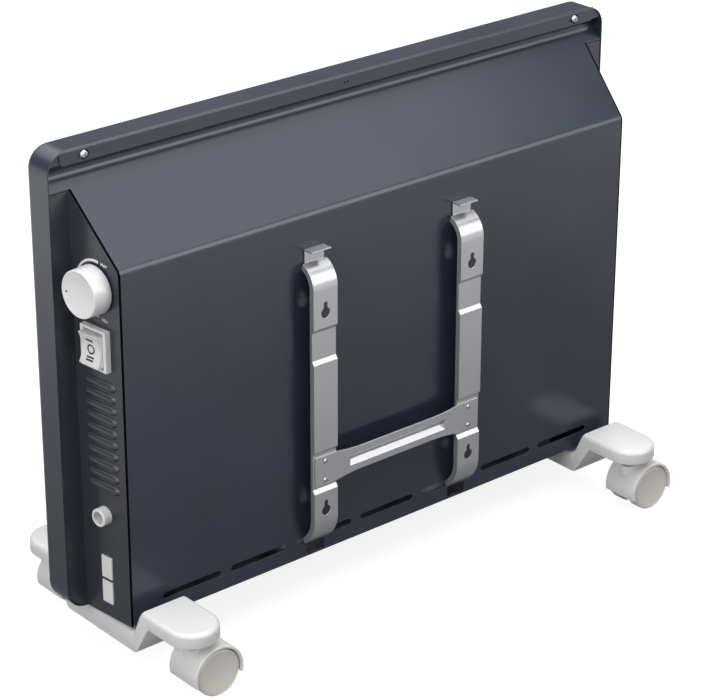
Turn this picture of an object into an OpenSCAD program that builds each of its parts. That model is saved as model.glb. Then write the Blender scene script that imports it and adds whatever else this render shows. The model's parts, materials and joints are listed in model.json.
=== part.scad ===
// Panel convector heater on castor feet, seen from behind with its wall bracket clipped on.
// +Z is up, +X runs along the width with the controls at +X, and +Y points to the back.
// The origin lies on the floor, midway between the four castors.

/* [Front panel] */
// Width of the front panel across its rim
panel_w = 590; // [560:5:640]
// Height of the front panel
panel_h = 394.6; // [385:0.2:430]
// Depth of the panel's folded rim
rim_d = 29.2; // [26:0.2:32]
// Radius of the panel's four corners
corner_r = 18; // [12:1:24]
// Rounding between the panel's face and its rim
front_r = 5; // [2:0.5:8]
// Thickness of the steel sheet
sheet = 1; // [0.8:0.1:1.4]
// Height of the lip folded down behind the rim's top
lip_h = 12; // [10:0.5:15]
// Distance of the lip's ends from the panel's sides
lip_end = 11.75; // [8:0.25:20]
// Distance of the two lip screws from the panel's sides
lip_screw_side = 34.5; // [28:0.5:70]
// Width of the warm air outlet
outlet_w = 470; // [400:5:500]
// Height of the warm air outlet
outlet_h = 42; // [34:1:50]
// Depth of the outlet's lower edge below the panel's top
outlet_drop = 84; // [70:1:95]

/* [Rear casing] */
// Depth of the whole body, from panel face to casing back
body_d = 82.9; // [76:0.1:90]
// Height of the body's underside above the floor
body_z = 46.5; // [44:0.5:52]
// Distance of the end walls from the panel's sides at the rim
wall_side = 19.25; // [17:0.25:22]
// Further distance of the end walls from the panel's sides at the back
wall_taper = 5.5; // [3:0.1:7]
// Distance of the slope's upper end below the panel's top
slope_drop = 24.4; // [22:0.1:40]
// Lean of the rear slope from upright, in degrees
slope_deg = 45; // [42:1:48]
// Outer radius of that bend
knee_r = 9; // [5:0.5:12]
// Radius of the hollow roll above the slope
roll_r = 7; // [6:0.5:8]
// Number of air inlet slots in the back
slot_count = 7; // [5:1:7]
// Length of one inlet slot
slot_l = 59.3; // [50:0.5:62]
// Height of one inlet slot
slot_h = 5.6; // [4.5:0.2:7]
// Distance between inlet slots
slot_pitch = 69.8; // [66:0.2:72]
// Height of the inlet slots above the underside
slot_z = 17.7; // [15:0.5:22]

/* [Controls] */
// Distance of the controls behind the panel's face
control_depth = 56; // [54:0.5:58]
// Distance of the knob's axis below the bend between back and slope
knob_drop = 19.8; // [16:0.1:24]
// Radius of the thermostat knob
knob_r = 20; // [16:0.5:21]
// Distance of the knob's face from the wall
knob_out = 18.3; // [14:0.1:22]
// Radius of the thermostat spindle
spindle_r = 3; // [2.5:0.1:3.5]
// Distance of the switch's middle below the knob's axis
switch_drop = 49.5; // [44:0.1:55]
// Distance of the switch's middle in front of the knob's axis
switch_shift = 0.75; // [0:0.05:2]
// Width of the switch bezel
bezel_w = 29.4; // [28:0.2:32]
// Height of the switch bezel
bezel_h = 34.6; // [34:0.2:36]
// Distance of the bezel's face from the wall
bezel_out = 5; // [4:0.1:5.5]
// Number of pressed louvres in the control wall
louvre_count = 10; // [6:1:10]
// Distance between louvres
louvre_pitch = 10; // [9.9:0.05:10.2]
// Distance of the louvres' middle below the switch's middle
louvre_drop = 76.4; // [74:0.1:84]
// Length of one louvre
louvre_l = 37; // [30:0.5:39]
// Place of the cable bush in the free height between louvres and caps, 0 at the louvres and 1 at the caps
bush_place = 0.2965; // [0.1:0.0005:0.9]
// Outer radius of the cable bush
bush_r = 7.7; // [7:0.1:9]
// Radius of the hole through the cable bush
bush_bore_r = 5.5; // [4:0.1:5.8]
// Distance of the bush's end from the wall
bush_out = 8.2; // [6:0.1:11]
// Width of a blanking cap
cap_w = 12; // [10:0.2:14]
// Height of a blanking cap
cap_h = 19.8; // [17:0.2:20.5]
// Height of the lower cap's middle above the underside
cap_low_h = 22.9; // [20:0.5:25]
// Distance between the two caps
cap_pitch = 22.6; // [21.5:0.1:24]

/* [Wall bracket] */
// Distance between the two uprights, the same as between keyholes
bracket_pitch = 160; // [140:1:180]
// Width of one upright
upright_w = 25; // [22:0.5:28]
// Thickness of the bracket's steel
bracket_t = 1.2; // [1:0.1:1.5]
// Distance of the uprights' proud face from the casing back
upright_out = 15.5; // [13:0.1:18]
// Depth of the steps pressed into the uprights
step_d = 2.3; // [1.5:0.1:2.6]
// Depth of the uprights' folded edges
edge_d = 5.2; // [4:0.1:6]
// Height of the lower keyholes above the underside
keyhole_low_h = 48.2; // [46:0.2:52]
// Distance of the upper keyholes below the casing's bend
keyhole_drop = 81.1; // [78:0.1:92]
// Radius of a keyhole's round end
keyhole_r = 4.6; // [4:0.1:5.5]
// Width of a keyhole's slot
keyhole_slot_w = 4; // [3:0.1:5]
// Length of a keyhole above its round end's middle
keyhole_l = 9.6; // [8:0.1:11]
// Radius of the arch at the uprights' top
arch_r = 22; // [20:0.5:24]
// Radius of the curve at the uprights' foot
heel_r = 32; // [29:0.5:35]
// Height of the cross bar's middle above the underside
bar_h = 85.2; // [84:0.2:87]
// Height of the cross bar's ends
bar_end_h = 27; // [24:0.5:29]
// Height of the cross bar's waist
bar_mid_h = 21.5; // [18:0.5:24]
// Distance between the two screws of a cross bar end
bar_screw_pitch = 17.5; // [15:0.5:19]

/* [Feet] */
// Distance of the feet's middles from the panel's sides
foot_side = 47.8; // [45:0.2:54]
// Width of a foot
foot_w = 45; // [43:1:49]
// Height of a foot's channel
channel_h = 18.3; // [17:0.1:19]
// Gap between channel and body, filled by the seat in its middle
channel_gap = 4.5; // [2.5:0.1:5]
// Height of the pads' underside above the body's underside
pad_rise = 6.5; // [6:0.1:9]
// Thickness of the pads
pad_t = 13; // [11:0.5:14]
// Rounding of the pads' upper edges
pad_edge_r = 4; // [2:0.5:5]
// Rounding of the channel's upper edges
channel_edge_r = 4.5; // [2:0.5:5]
// Distance between front and rear castor stems
stem_pitch = 188.5; // [187:0.5:200]

/* [Castors] */
// Radius of a castor wheel
wheel_r = 20.5; // [19.8:0.1:20.8]
// Width of one castor wheel
wheel_w = 11.2; // [10:0.1:11.4]
// Outer radius of a castor hood
hood_r = 24.2; // [23.8:0.1:24.4]
// Wall of the hood
hood_wall = 2.5; // [2.2:0.1:2.6]
// Width of a hood
hood_w = 35.8; // [35:0.2:36.4]
// Depth of the wheels' faces inside the hood's ends
wheel_inset = 1; // [0.6:0.1:1.2]
// Distance of the axle behind the stem
trail = 13.8; // [13:0.1:14.4]
// Radius of the hood's round socket
socket_r = 7; // [6.2:0.1:7.2]
// Height of the socket's top above the axle
socket_h = 22.5; // [22:0.1:23]
// Radius of a stem
stem_r = 4; // [3.5:0.1:4.5]
// Radius of an axle
axle_r = 2.5; // [2:0.1:3]

/* [Inside] */
// Height of the heating element's axis above the underside
element_h = 68; // [60:1:80]
// Distance of the heating element's ends from the panel's sides
element_side = 75; // [70:1:95]
// Radius of the element's sheath
element_r = 6; // [5:0.5:7]
// Reach of the element's fins from its axis
fin_reach = 17; // [14:0.5:20]
// Distance of the air duct's ends inside the element's ends
duct_end = 5; // [3:0.5:20]

/* [Hidden] */
$fn = 48;

// Finishes
paint = "#43464f";
paint_dark = "#2f3138";
white = "#eceae6";
zinc = "#a5a8ac";
steel = "#8f9296";
ivory = "#c9c2ba";
ceramic = "#e8e2d4";
black = "#26262a";

// Clearances
seam = 0.1;          // between sheets that lie on each other
loose = 0.3;         // around a sheet's free edge
running = 0.06;      // around a turning pin, on its radius
push = 0.02;         // around a pin that is pressed in, on its radius
hole_gap = 0.2;      // around a part that passes through a sheet

// Main planes
front_y = -37.75;
back_y = front_y + body_d;
rim_y = front_y + rim_d;
wall_y = rim_y - 0.5;
top_z = body_z + panel_h;
roll_y = wall_y - 6.7;                // where the slope runs into the roll
knee_z = top_z - slope_drop - (back_y - roll_y) / tan(slope_deg);
rim_x = panel_w / 2;
wall_x = rim_x - wall_side;
wall_back_x = wall_x - wall_taper;
lip_w = panel_w - 2 * lip_end;
lip_screw_x = rim_x - lip_screw_side;
foot_x = rim_x - foot_side;
element_l = panel_w - 2 * element_side;
duct_w = element_l - 2 * duct_end;
lean = atan((wall_x - wall_back_x) / (back_y - wall_y));
apex_z = knee_z + (back_y - wall_y) / tan(slope_deg);
floor_z = body_z + sheet;             // top of the panel's lower rim and of the casing's lower flange
deck_z = floor_z + sheet;             // top of the inlet plate

// The controls hang below the casing's bend, each at its own distance from the one above
knob_z = knee_z - knob_drop;
switch_z = knob_z - switch_drop;
louvre_mid_z = switch_z - louvre_drop;
louvre_bulge_r = 5.3;
louvre_low_z = louvre_mid_z - (louvre_count - 1) / 2 * louvre_pitch - louvre_bulge_r;
cap_top_z = body_z + cap_low_h + cap_pitch + cap_h / 2;
bush_z = louvre_low_z - bush_r - bush_place * (louvre_low_z - cap_top_z - 2 * bush_r);

// Points on an arc round c from angle a0 to a1
function arc_points(c, r, a0, a1, n) =
    [for (i = [0:n]) c + r * [cos(a0 + (a1 - a0) * i / n), sin(a0 + (a1 - a0) * i / n)]];

function unit(v) = v / norm(v);
function left_of(d) = [-d[1], d[0]];

// The path moved to its left by t, with mitred bends
function inset_path(p, t) = [
    for (i = [0:len(p) - 1])
        let (
            a = i == 0 ? unit(p[1] - p[0]) : unit(p[i] - p[i - 1]),
            b = i == len(p) - 1 ? a : unit(p[i + 1] - p[i]),
            m = unit(left_of(a) + left_of(b))
        )
        p[i] + m * t / (m * left_of(b))
];

function reversed(p) = [for (i = [len(p) - 1:-1:0]) p[i]];

// Outline of a sheet of thickness t that lies left of the path
function sheet_outline(p, t) = concat(p, reversed(inset_path(p, t)));

// A flat shape drawn in (y, z), made solid from x0 to x1
module along_x(x0, x1) {
    translate([x0, 0, 0])
        rotate([90, 0, 90])
            linear_extrude(x1 - x0)
                children();
}

// A flat shape drawn in (x, z), made solid from y0 to y1
module along_y(y0, y1) {
    translate([0, y1, 0])
        rotate([90, 0, 0])
            linear_extrude(y1 - y0)
                children();
}

// A rod along Y
module y_rod(x, y0, y1, z, r) {
    translate([x, y0, z])
        rotate([-90, 0, 0])
            cylinder(h = y1 - y0, r = r);
}

// A rod along X
module x_rod(x0, x1, y, z, r) {
    translate([x0, y, z])
        rotate([0, 90, 0])
            cylinder(h = x1 - x0, r = r);
}

module box(x0, x1, y0, y1, z0, z1) {
    translate([x0, y0, z0])
        cube([x1 - x0, y1 - y0, z1 - z0]);
}

module rounded_rectangle(w, h, r) {
    square([w - 2 * r, h], center = true);
    square([w, h - 2 * r], center = true);
    for (sx = [-1, 1], sy = [-1, 1])
        translate([sx * (w / 2 - r), sy * (h / 2 - r)])
            circle(r);
}

// A slot with round ends, length l over all, height h
module slot_shape(l, h) {
    square([l - h, h], center = true);
    for (s = [-1, 1])
        translate([s * (l - h) / 2, 0])
            circle(h / 2);
}

// Front panel

// Section through the panel's block, as [across, depth], its two front edges rounded
function pan_section(half, f, d) = concat(
    arc_points([-half + f, f], f, 180, 270, 6),
    arc_points([half - f, f], f, 270, 360, 6),
    [[half, d], [-half, d]]
);

// One corner of the panel as a turned block, its front edge rounded
module pan_corner(r, f, d) {
    rotate([-90, 0, 0])
        rotate_extrude($fn = 64)
            polygon(concat([[0, 0]], arc_points([r - f, f], f, -90, 0, 6), [[r, d], [0, d]]));
}

// The panel's block, inset by the sheet for its hollow
module pan_block(inset) {
    w = rim_x - corner_r;
    f = front_r - inset;
    d = rim_d + (inset > 0 ? 1 : 0);
    mid_z = body_z + panel_h / 2;
    along_x(-w, w)
        polygon([for (p = pan_section(panel_h / 2 - inset, f, d)) [front_y + inset + p[1], mid_z + p[0]]]);
    translate([0, 0, body_z + corner_r])
        linear_extrude(panel_h - 2 * corner_r)
            polygon([for (p = pan_section(rim_x - inset, f, d)) [p[0], front_y + inset + p[1]]]);
    for (sx = [-1, 1], z = [body_z + corner_r, top_z - corner_r])
        translate([sx * w, front_y + inset, z])
            pan_corner(corner_r - inset, f, d);
}

// The room inside the rim, less the gap that a sheet's free edge keeps
module inside_rim() {
    h = panel_h - 2 * sheet - 2 * loose;
    along_y(front_y, back_y)
        translate([0, body_z + panel_h / 2])
            rounded_rectangle(panel_w - 2 * sheet - 2 * loose, h, corner_r - sheet);
}

outlet_z = top_z - outlet_drop + outlet_h / 2;

lip_corner_r = 4.5;

module lip_plate() {
    along_y(rim_y - sheet, rim_y)
        translate([0, top_z - lip_h / 2]) {
            rounded_rectangle(lip_w, lip_h, lip_corner_r);
            translate([0, lip_h / 4])
                square([lip_w, lip_h / 2], center = true);
        }
}

// What the bend between rim and lip takes off a square edge
module lip_bend_cut() {
    r = 1.8;
    difference() {
        box(-lip_w / 2, lip_w / 2, rim_y - r, rim_y + 1, top_z - r, top_z + 1);
        x_rod(-lip_w / 2 - 1, lip_w / 2 + 1, rim_y - r, top_z - r, r);
    }
}

lip_screw_drop = 6.4;
lip_screw_z = top_z - lip_screw_drop;
lip_hole_r = 4.4;
lip_side_hole_r = 2.3;
lip_side_hole_x = 5.4;
gauge_hole_r = 0.9;                   // two small holes in the lip's middle
gauge_hole_x = 1.6;
outlet_corner_r = 5;

module front_panel() color(paint) difference() {
    union() {
        difference() {
            pan_block(0);
            pan_block(sheet);
        }
        lip_plate();
    }
    along_y(front_y - 1, front_y + sheet + 1)
        translate([0, outlet_z])
            rounded_rectangle(outlet_w, outlet_h, outlet_corner_r);
    for (s = [-1, 1]) {
        y_rod(s * lip_screw_x, rim_y - 2 * sheet, rim_y + 1, lip_screw_z, lip_hole_r);
        y_rod(s * lip_screw_x + lip_side_hole_x, rim_y - 2 * sheet, rim_y + 1,
            lip_screw_z, lip_side_hole_r);
    }
    for (s = [-1, 1])
        y_rod(s * gauge_hole_x, rim_y - 2 * sheet, rim_y + 1, lip_screw_z, gauge_hole_r);
    lip_bend_cut();
}

// Outlet grille: a frame behind the opening, sloping blades and upright ribs
grille_margin = 8;
grille_d = 8;
grille_y = front_y + sheet;
blade_count = 5;
blade_t = 1.2;
blade_lean = 30;
rib_count = 9;
rib_t = 2;

module outlet_grille() color(paint_dark) {
    difference() {
        along_y(grille_y, grille_y + grille_d)
            translate([0, outlet_z])
                rounded_rectangle(outlet_w + 2 * grille_margin, outlet_h + 2 * grille_margin, 4);
        along_y(grille_y - 1, grille_y + grille_d + 1)
            translate([0, outlet_z])
                square([outlet_w, outlet_h], center = true);
    }
    for (i = [1:blade_count])
        translate([0, grille_y + grille_d / 2, outlet_z - outlet_h / 2 + i * outlet_h / (blade_count + 1)])
            rotate([-blade_lean, 0, 0])
                cube([outlet_w + 1, grille_d - 1.4, blade_t], center = true);
    for (i = [1:rib_count])
        translate([-outlet_w / 2 + i * outlet_w / (rib_count + 1), grille_y + grille_d / 2 + 0.5, outlet_z])
            cube([rib_t, grille_d - 1, outlet_h + 1], center = true);
}

// Rear casing

flange_in_y = back_y - 18.4;                  // inner edge of the casing's lower flange
flange_y = rim_y - sheet - seam;              // rear face of its top flange
foot_bend_r = 2;
roll_end = 110;                               // angle at which the roll ends under the lip
lip_bend_r = 2;

slope_dir = [-sin(slope_deg), cos(slope_deg)];
slope_out = [cos(slope_deg), sin(slope_deg)];
roll_start = [back_y, knee_z] + slope_dir * (back_y - roll_y) / sin(slope_deg);
roll_c = roll_start + slope_out * roll_r;
roll_stop = roll_c + roll_r * [cos(roll_end), sin(roll_end)];
lip_bend_y = flange_y - lip_bend_r;
lip_bend_z = roll_stop[1] + lip_bend_r * sin(180 - roll_end)
    + (lip_bend_y + lip_bend_r * cos(180 - roll_end) - roll_stop[0]) * tan(roll_end - 90);

// The casing's outer face from its lower flange, up the back and the slope, to its top flange
casing_path = concat(
    [[flange_in_y, body_z]],
    arc_points([back_y - foot_bend_r, body_z + foot_bend_r], foot_bend_r, -90, 0, 4),
    arc_points([back_y - knee_r, knee_z - knee_r * tan(slope_deg / 2)], knee_r, 0, slope_deg, 12),
    arc_points(roll_c, roll_r, slope_deg + 180, roll_end, 18),
    arc_points([lip_bend_y, lip_bend_z], lip_bend_r, roll_end - 180, 0, 6),
    [[flange_y, top_z - sheet - loose]]
);

// The room between the leaning end walls, and the full width above them
module casing_bounds() {
    translate([0, 0, body_z - 1])
        linear_extrude(panel_h)
            polygon([
                [-wall_x, wall_y], [wall_x, wall_y],
                [wall_back_x, back_y], [wall_back_x, back_y + 1],
                [-wall_back_x, back_y + 1], [-wall_back_x, back_y]
            ]);
    box(-rim_x, rim_x, front_y, wall_y, knee_z, top_z);
}

hook_hole_w = 19.2;
hook_hole_rise = 2.8;
hook_hole_h = 9.9;
hook_hole_z = body_z + hook_hole_rise;
catch_drop = 35.8;
catch_z = knee_z - catch_drop;
catch_w = 10;

module rear_casing() color(paint) difference() {
    intersection() {
        along_x(-rim_x, rim_x)
            polygon(sheet_outline(casing_path, sheet));
        casing_bounds();
        union() {
            inside_rim();
            box(-wall_x, wall_x, wall_y, back_y + 1, body_z - 1, top_z);
        }
    }
    for (i = [0:slot_count - 1])
        along_y(back_y - 2 * sheet, back_y + 1)
            translate([(i - (slot_count - 1) / 2) * slot_pitch, body_z + slot_z])
                slot_shape(slot_l, slot_h);
    for (s = [-1, 1]) {
        box(s * bracket_pitch / 2 - hook_hole_w / 2, s * bracket_pitch / 2 + hook_hole_w / 2,
            back_y - 2 * sheet, back_y + 1, hook_hole_z, hook_hole_z + hook_hole_h);
        box(s * bracket_pitch / 2 - catch_w / 2 - 1, s * bracket_pitch / 2 + catch_w / 2 + 1,
            back_y - 2 * sheet, back_y + 1, catch_z - bracket_t - loose, catch_z + 1);
        y_rod(s * lip_screw_x, flange_y - 2 * sheet, flange_y + 1, lip_screw_z, 2.1);
    }
}

// End walls

// Children are placed on the control wall: x away from the wall, y along it, z up
module on_wall(y = 0, z = 0) {
    translate([wall_x, wall_y, 0])
        rotate([0, 0, lean])
            translate([0, y, z])
                children();
}

control_y = (front_y + control_depth - wall_y) / cos(lean);
switch_y = control_y - switch_shift;
wall_top = inset_path(
    concat(
        [[back_y, body_z]],
        arc_points([back_y - knee_r, knee_z - knee_r * tan(slope_deg / 2)], knee_r, 0, slope_deg, 12),
        [[wall_y, apex_z]]
    ), sheet + seam);

// The wall's outline, notched where it passes the panel's rim
wall_outline = concat(
    [
        [0, floor_z + seam], [1, floor_z + seam], [1, body_z],
        [(flange_in_y - loose - wall_y) / cos(lean), body_z],
        [(flange_in_y - loose - wall_y) / cos(lean), floor_z + seam],
        [(wall_top[0][0] - wall_y) / cos(lean), floor_z + seam]
    ],
    [for (i = [1:len(wall_top) - 1]) [(wall_top[i][0] - wall_y) / cos(lean), wall_top[i][1]]]
);

// The wall with its outward flange beside the rim and its inner returns under the casing
module end_wall() {
    return_w = 9;
    return_rise = 30;
    on_wall()
        along_x(-sheet, 0)
            polygon(wall_outline);
    intersection() {
        box(wall_x - sheet, rim_x, wall_y - sheet, wall_y, floor_z, apex_z - 1.5 * sheet - loose);
        inside_rim();
    }
    intersection() {
        along_x(wall_back_x - return_w, wall_x - sheet / 2)
            polygon(sheet_outline(concat([[back_y - sheet - seam, body_z + return_rise]],
                [for (i = [1:len(wall_top) - 1]) wall_top[i]]), sheet));
        translate([0, 0, body_z])
            linear_extrude(panel_h)
                polygon([
                    [0, wall_y], [wall_x - sheet / 2, wall_y],
                    [wall_back_x - sheet / 2, back_y], [0, back_y]
                ]);
    }
}

// Louvre: a long bulge with round ends, open below
louvre_depth = 2.5;
louvre_rod = louvre_l - 2 * sqrt(pow(louvre_bulge_r, 2) - pow(louvre_depth, 2));

module bulge(r) {
    translate([-louvre_depth, 0, 0]) {
        y_rod(0, -louvre_rod / 2, louvre_rod / 2, 0, r);
        for (s = [-1, 1])
            translate([0, s * louvre_rod / 2, 0])
                sphere(r, $fn = 24);
    }
}

module louvre_cut() {
    bulge(louvre_bulge_r - sheet);
}

module louvre_skin() {
    difference() {
        bulge(louvre_bulge_r);
        bulge(louvre_bulge_r - sheet);
        translate([-20 - sheet, -louvre_l, -10])
            cube([20, 2 * louvre_l, 20]);
        translate([-10, -louvre_l, -12])
            cube([20, 2 * louvre_l, 10.6]);
    }
}

function louvre_z(i) = louvre_mid_z + (i - (louvre_count - 1) / 2) * louvre_pitch;

housing_w = 25.2;
housing_h = 32.8;
bush_neck_r = 7;
thermostat_neck_r = 5;
cap_neck_w = cap_w - 2;
cap_neck_h = cap_h - 2;

module control_end_wall() color(paint) difference() {
    union() {
        end_wall();
        for (i = [0:louvre_count - 1])
            on_wall(control_y, louvre_z(i))
                louvre_skin();
    }
    for (i = [0:louvre_count - 1])
        on_wall(control_y, louvre_z(i))
            louvre_cut();
    on_wall(control_y, knob_z)
        x_rod(-5, 5, 0, 0, thermostat_neck_r + hole_gap);
    for (s = [-1, 1])
        on_wall(control_y, knob_z + s * thermostat_screw_pitch / 2)
            x_rod(-5, 5, 0, 0, thermostat_screw_r + hole_gap);
    on_wall(switch_y, switch_z)
        translate([-5, -housing_w / 2 - hole_gap, -housing_h / 2 - hole_gap])
            cube([10, housing_w + 2 * hole_gap, housing_h + 2 * hole_gap]);
    on_wall(control_y, bush_z)
        x_rod(-5, 5, 0, 0, bush_neck_r + hole_gap / 2);
    for (z = [cap_low_h, cap_low_h + cap_pitch])
        on_wall(control_y, body_z + z)
            translate([-5, -cap_neck_w / 2 - hole_gap, -cap_neck_h / 2 - hole_gap])
                cube([10, cap_neck_w + 2 * hole_gap, cap_neck_h + 2 * hole_gap]);
}

module plain_end_wall() color(paint)
    mirror([1, 0, 0])
        end_wall();

// Inlet plate: the body's floor, with the air slots and the holes for the feet's screws
inlet_slot_count = 15;
inlet_slot_pitch = 28;
inlet_slot_l = 22;
inlet_slot_h = 9;
foot_screw_ys = [0, 19];
foot_screw_r = 2;
foot_screw_head_r = 3.8;
foot_screw_head_h = 2.3;
foot_screw_rise = 2.5;                // of the heads inside the channel

module inlet_plate() color(steel) difference() {
    box(-wall_back_x + sheet + loose, wall_back_x - sheet - loose,
        front_y + front_r + loose, back_y - sheet - seam - sheet - loose, floor_z, deck_z);
    for (i = [0:inlet_slot_count - 1])
        translate([(i - (inlet_slot_count - 1) / 2) * inlet_slot_pitch,
                (rim_y + flange_in_y) / 2, floor_z - 1])
            linear_extrude(sheet + 2)
                slot_shape(inlet_slot_l, inlet_slot_h);
    for (s = [-1, 1], y = foot_screw_ys)
        translate([s * foot_x, y, floor_z - 1])
            cylinder(h = sheet + 2, r = foot_screw_r + hole_gap / 2);
    for (s = [-1, 1])
        translate([s * duct_screw_x, duct_screw_y, floor_z - 1])
            cylinder(h = sheet + 2, r = duct_screw_r + seam);
}

// Screws

// A pan head with a cross recess, its seat at x = 0 and its shank along -X
module x_screw(head_r, head_h, shank_r, shank_l) {
    difference() {
        union() {
            x_rod(-shank_l, 0.01, 0, 0, shank_r);
            rotate([0, 90, 0])
                rotate_extrude()
                    polygon([[0, 0], [head_r, 0], [head_r, head_h * 0.4], [head_r * 0.75, head_h * 0.85],
                        [head_r * 0.4, head_h], [0, head_h]]);
        }
        for (a = [0, 90])
            rotate([a, 0, 0])
                translate([head_h * 0.45, -head_r * 0.6, -head_r * 0.14])
                    cube([head_h, head_r * 1.2, head_r * 0.28]);
    }
}

module y_screw(head_r, head_h, shank_r, shank_l) {
    rotate([0, 0, 90])
        x_screw(head_r, head_h, shank_r, shank_l);
}

lip_screw_head_r = 3.5;
lip_screw_head_h = 2.6;
lip_screw_r = 2;
lip_screw_l = 8;

module lip_screws() color(zinc)
    for (s = [-1, 1])
        translate([s * lip_screw_x, flange_y, lip_screw_z])
            y_screw(lip_screw_head_r, lip_screw_head_h, lip_screw_r, lip_screw_l);

// Air duct: a bent sheet that leads warm air from the element up to the outlet

duct_t = 0.8;
duct_y = back_y - 19.4;
duct_foot_y = duct_y - 10;
duct_knee_z = outlet_z - outlet_h / 2 - 26;
duct_top_z = outlet_z + outlet_h / 2 + grille_margin + 3;
duct_path = [
    [duct_foot_y, deck_z], [duct_y, deck_z], [duct_y, duct_knee_z],
    [grille_y + grille_d + 1, duct_top_z], [grille_y + duct_t, duct_top_z + 5],
    [grille_y + duct_t, duct_top_z + 13]
];
duct_screw_x = duct_w * 0.4;
duct_screw_y = duct_foot_y + 4.5;
duct_screw_r = 1.6;

module air_duct() color(steel) difference() {
    along_x(-duct_w / 2, duct_w / 2)
        polygon(sheet_outline(duct_path, duct_t));
    for (s = [-1, 1])
        translate([s * duct_screw_x, duct_screw_y, deck_z - 1])
            cylinder(h = 4, r = duct_screw_r + seam);
    for (s = [-1, 1])
        y_rod(cutout_x + s * cutout_ear, duct_y - 4, duct_y + 2, cutout_z, 1.7);
}

module duct_screws() color(zinc)
    for (s = [-1, 1])
        translate([s * duct_screw_x, duct_screw_y, deck_z + duct_t])
            rotate([0, -90, 0])
                x_screw(3, 2, duct_screw_r, duct_t + 3);

// Heating element: a finned rod held at both ends in ceramic rings

element_y = 0;
element_z = body_z + element_h;
fin_t = 1.6;
fin_angles = [25, 65, 115, 155];
pin_l = 9;                            // reach of the element's end pins
pin_r = 1.6;
bracket_x = element_l / 2 - pin_l;
bracket_half_y = 15;
bracket_foot_l = 14;
bracket_top = 6;                      // height of the bracket above its ring
plate_t = 1.2;
ring_r = 10;

module heating_element() color("#b9b7b0") {
    x_rod(-element_l / 2, element_l / 2, element_y, element_z, element_r);
    for (a = fin_angles)
        translate([0, element_y, element_z])
            rotate([a, 0, 0])
                cube([2 * bracket_x - 26, 2 * fin_reach, fin_t], center = true);
    for (s = [-1, 1])
        translate([s * element_l / 2, 0, 0])
            x_rod(s > 0 ? -seam : -pin_l, s > 0 ? pin_l : seam, element_y, element_z, pin_r);
}

// One bracket: an upright plate with a foot, seen at +X
module element_bracket() {
    y0 = element_y - bracket_half_y;
    y1 = element_y + bracket_half_y;
    difference() {
        union() {
            box(bracket_x - plate_t / 2, bracket_x + plate_t / 2, y0, y1,
                deck_z, element_z + ring_r + bracket_top);
            box(bracket_x - bracket_foot_l, bracket_x, y0, y1, deck_z, deck_z + plate_t);
        }
        x_rod(bracket_x - 5, bracket_x + 5, element_y, element_z, ring_r + seam / 2);
    }
}

module element_bracket_left() color(steel)
    element_bracket();

module element_bracket_right() color(steel)
    mirror([1, 0, 0])
        element_bracket();

module element_insulators() color(ceramic)
    for (s = [-1, 1])
        translate([s * bracket_x, element_y, element_z])
            difference() {
                union() {
                    x_rod(-4, 4, 0, 0, ring_r);
                    x_rod(plate_t / 2 + seam, 3.8, 0, 0, ring_r + 2.5);
                }
                x_rod(-5, 5, 0, 0, element_r + seam / 2);
            }

// Electrical tags
tag_t = 0.8;
tag_h = 8;

// Thermal cut-out: a button stat with two ears on the duct
cutout_x = 90;
cutout_z = body_z + 150;
cutout_y = duct_y - duct_t;
cutout_r = 8;
cutout_h = 11;
cutout_ear = 12;
cutout_ear_r = 4;
cutout_tag_x = 4;
cutout_tag_w = 6;

module thermal_cutout() color(black) {
    y_rod(cutout_x, cutout_y - cutout_h, cutout_y - 2, cutout_z, cutout_r);
    difference() {
        union() {
            y_rod(cutout_x, cutout_y - 2.4, cutout_y, cutout_z, cutout_r - 1);
            box(cutout_x - cutout_ear - cutout_ear_r, cutout_x + cutout_ear + cutout_ear_r, cutout_y - 1, cutout_y,
                cutout_z - cutout_ear_r, cutout_z + cutout_ear_r);
        }
        for (s = [-1, 1])
            y_rod(cutout_x + s * cutout_ear, cutout_y - 3, duct_y, cutout_z, 1.7);
    }
    for (s = [-1, 1])
        translate([cutout_x + s * cutout_tag_x, 0, cutout_z])
            box(-tag_t / 2, tag_t / 2, cutout_y - cutout_h - tag_h, cutout_y - cutout_h + 0.5,
                -cutout_tag_w / 2, cutout_tag_w / 2);
}

// Thermostat

thermostat_screw_pitch = 26;
thermostat_screw_r = 1.6;
thermostat_end = -27;
thermostat_w = 30;
thermostat_h = 34;
thermostat_ear_w = 22;
thermostat_ear_t = 1.2;
thermostat_screw_l = 9;
spindle_end = -20.7;
spindle_flat = 0.5;        // distance of the spindle's flat from its axis, as a share of its radius
spindle_flat_start = 4;    // beyond the knob's rear edge
spindle_cap_t = 4.4;       // depth of the spindle's end below the knob's rim
knob_gap = 1.6;
neck_out = 1.2;

module thermostat_body() color("#cfcac0") on_wall(control_y, knob_z) difference() {
    union() {
        translate([thermostat_end, -thermostat_w / 2, -thermostat_h / 2])
            cube([-thermostat_end - sheet - thermostat_ear_t, thermostat_w, thermostat_h]);
        translate([-sheet - thermostat_ear_t, -thermostat_ear_w / 2, -thermostat_h / 2])
            cube([thermostat_ear_t, thermostat_ear_w, thermostat_h]);
        x_rod(-sheet - 1, neck_out, 0, 0, thermostat_neck_r);
    }
    x_rod(spindle_end - 0.3, neck_out + 1, 0, 0, spindle_r + running);
    for (s = [-1, 1])
        x_rod(-thermostat_screw_l - 3, 0, 0, s * thermostat_screw_pitch / 2, thermostat_screw_r + seam);
}

module thermostat_spindle() color(zinc) on_wall(control_y, knob_z) difference() {
    x_rod(spindle_end, knob_out - spindle_cap_t - 0.1, 0, 0, spindle_r);
    translate([knob_gap + spindle_flat_start, spindle_r * spindle_flat, -spindle_r])
        cube([knob_out, spindle_r, 2 * spindle_r]);
}

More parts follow.
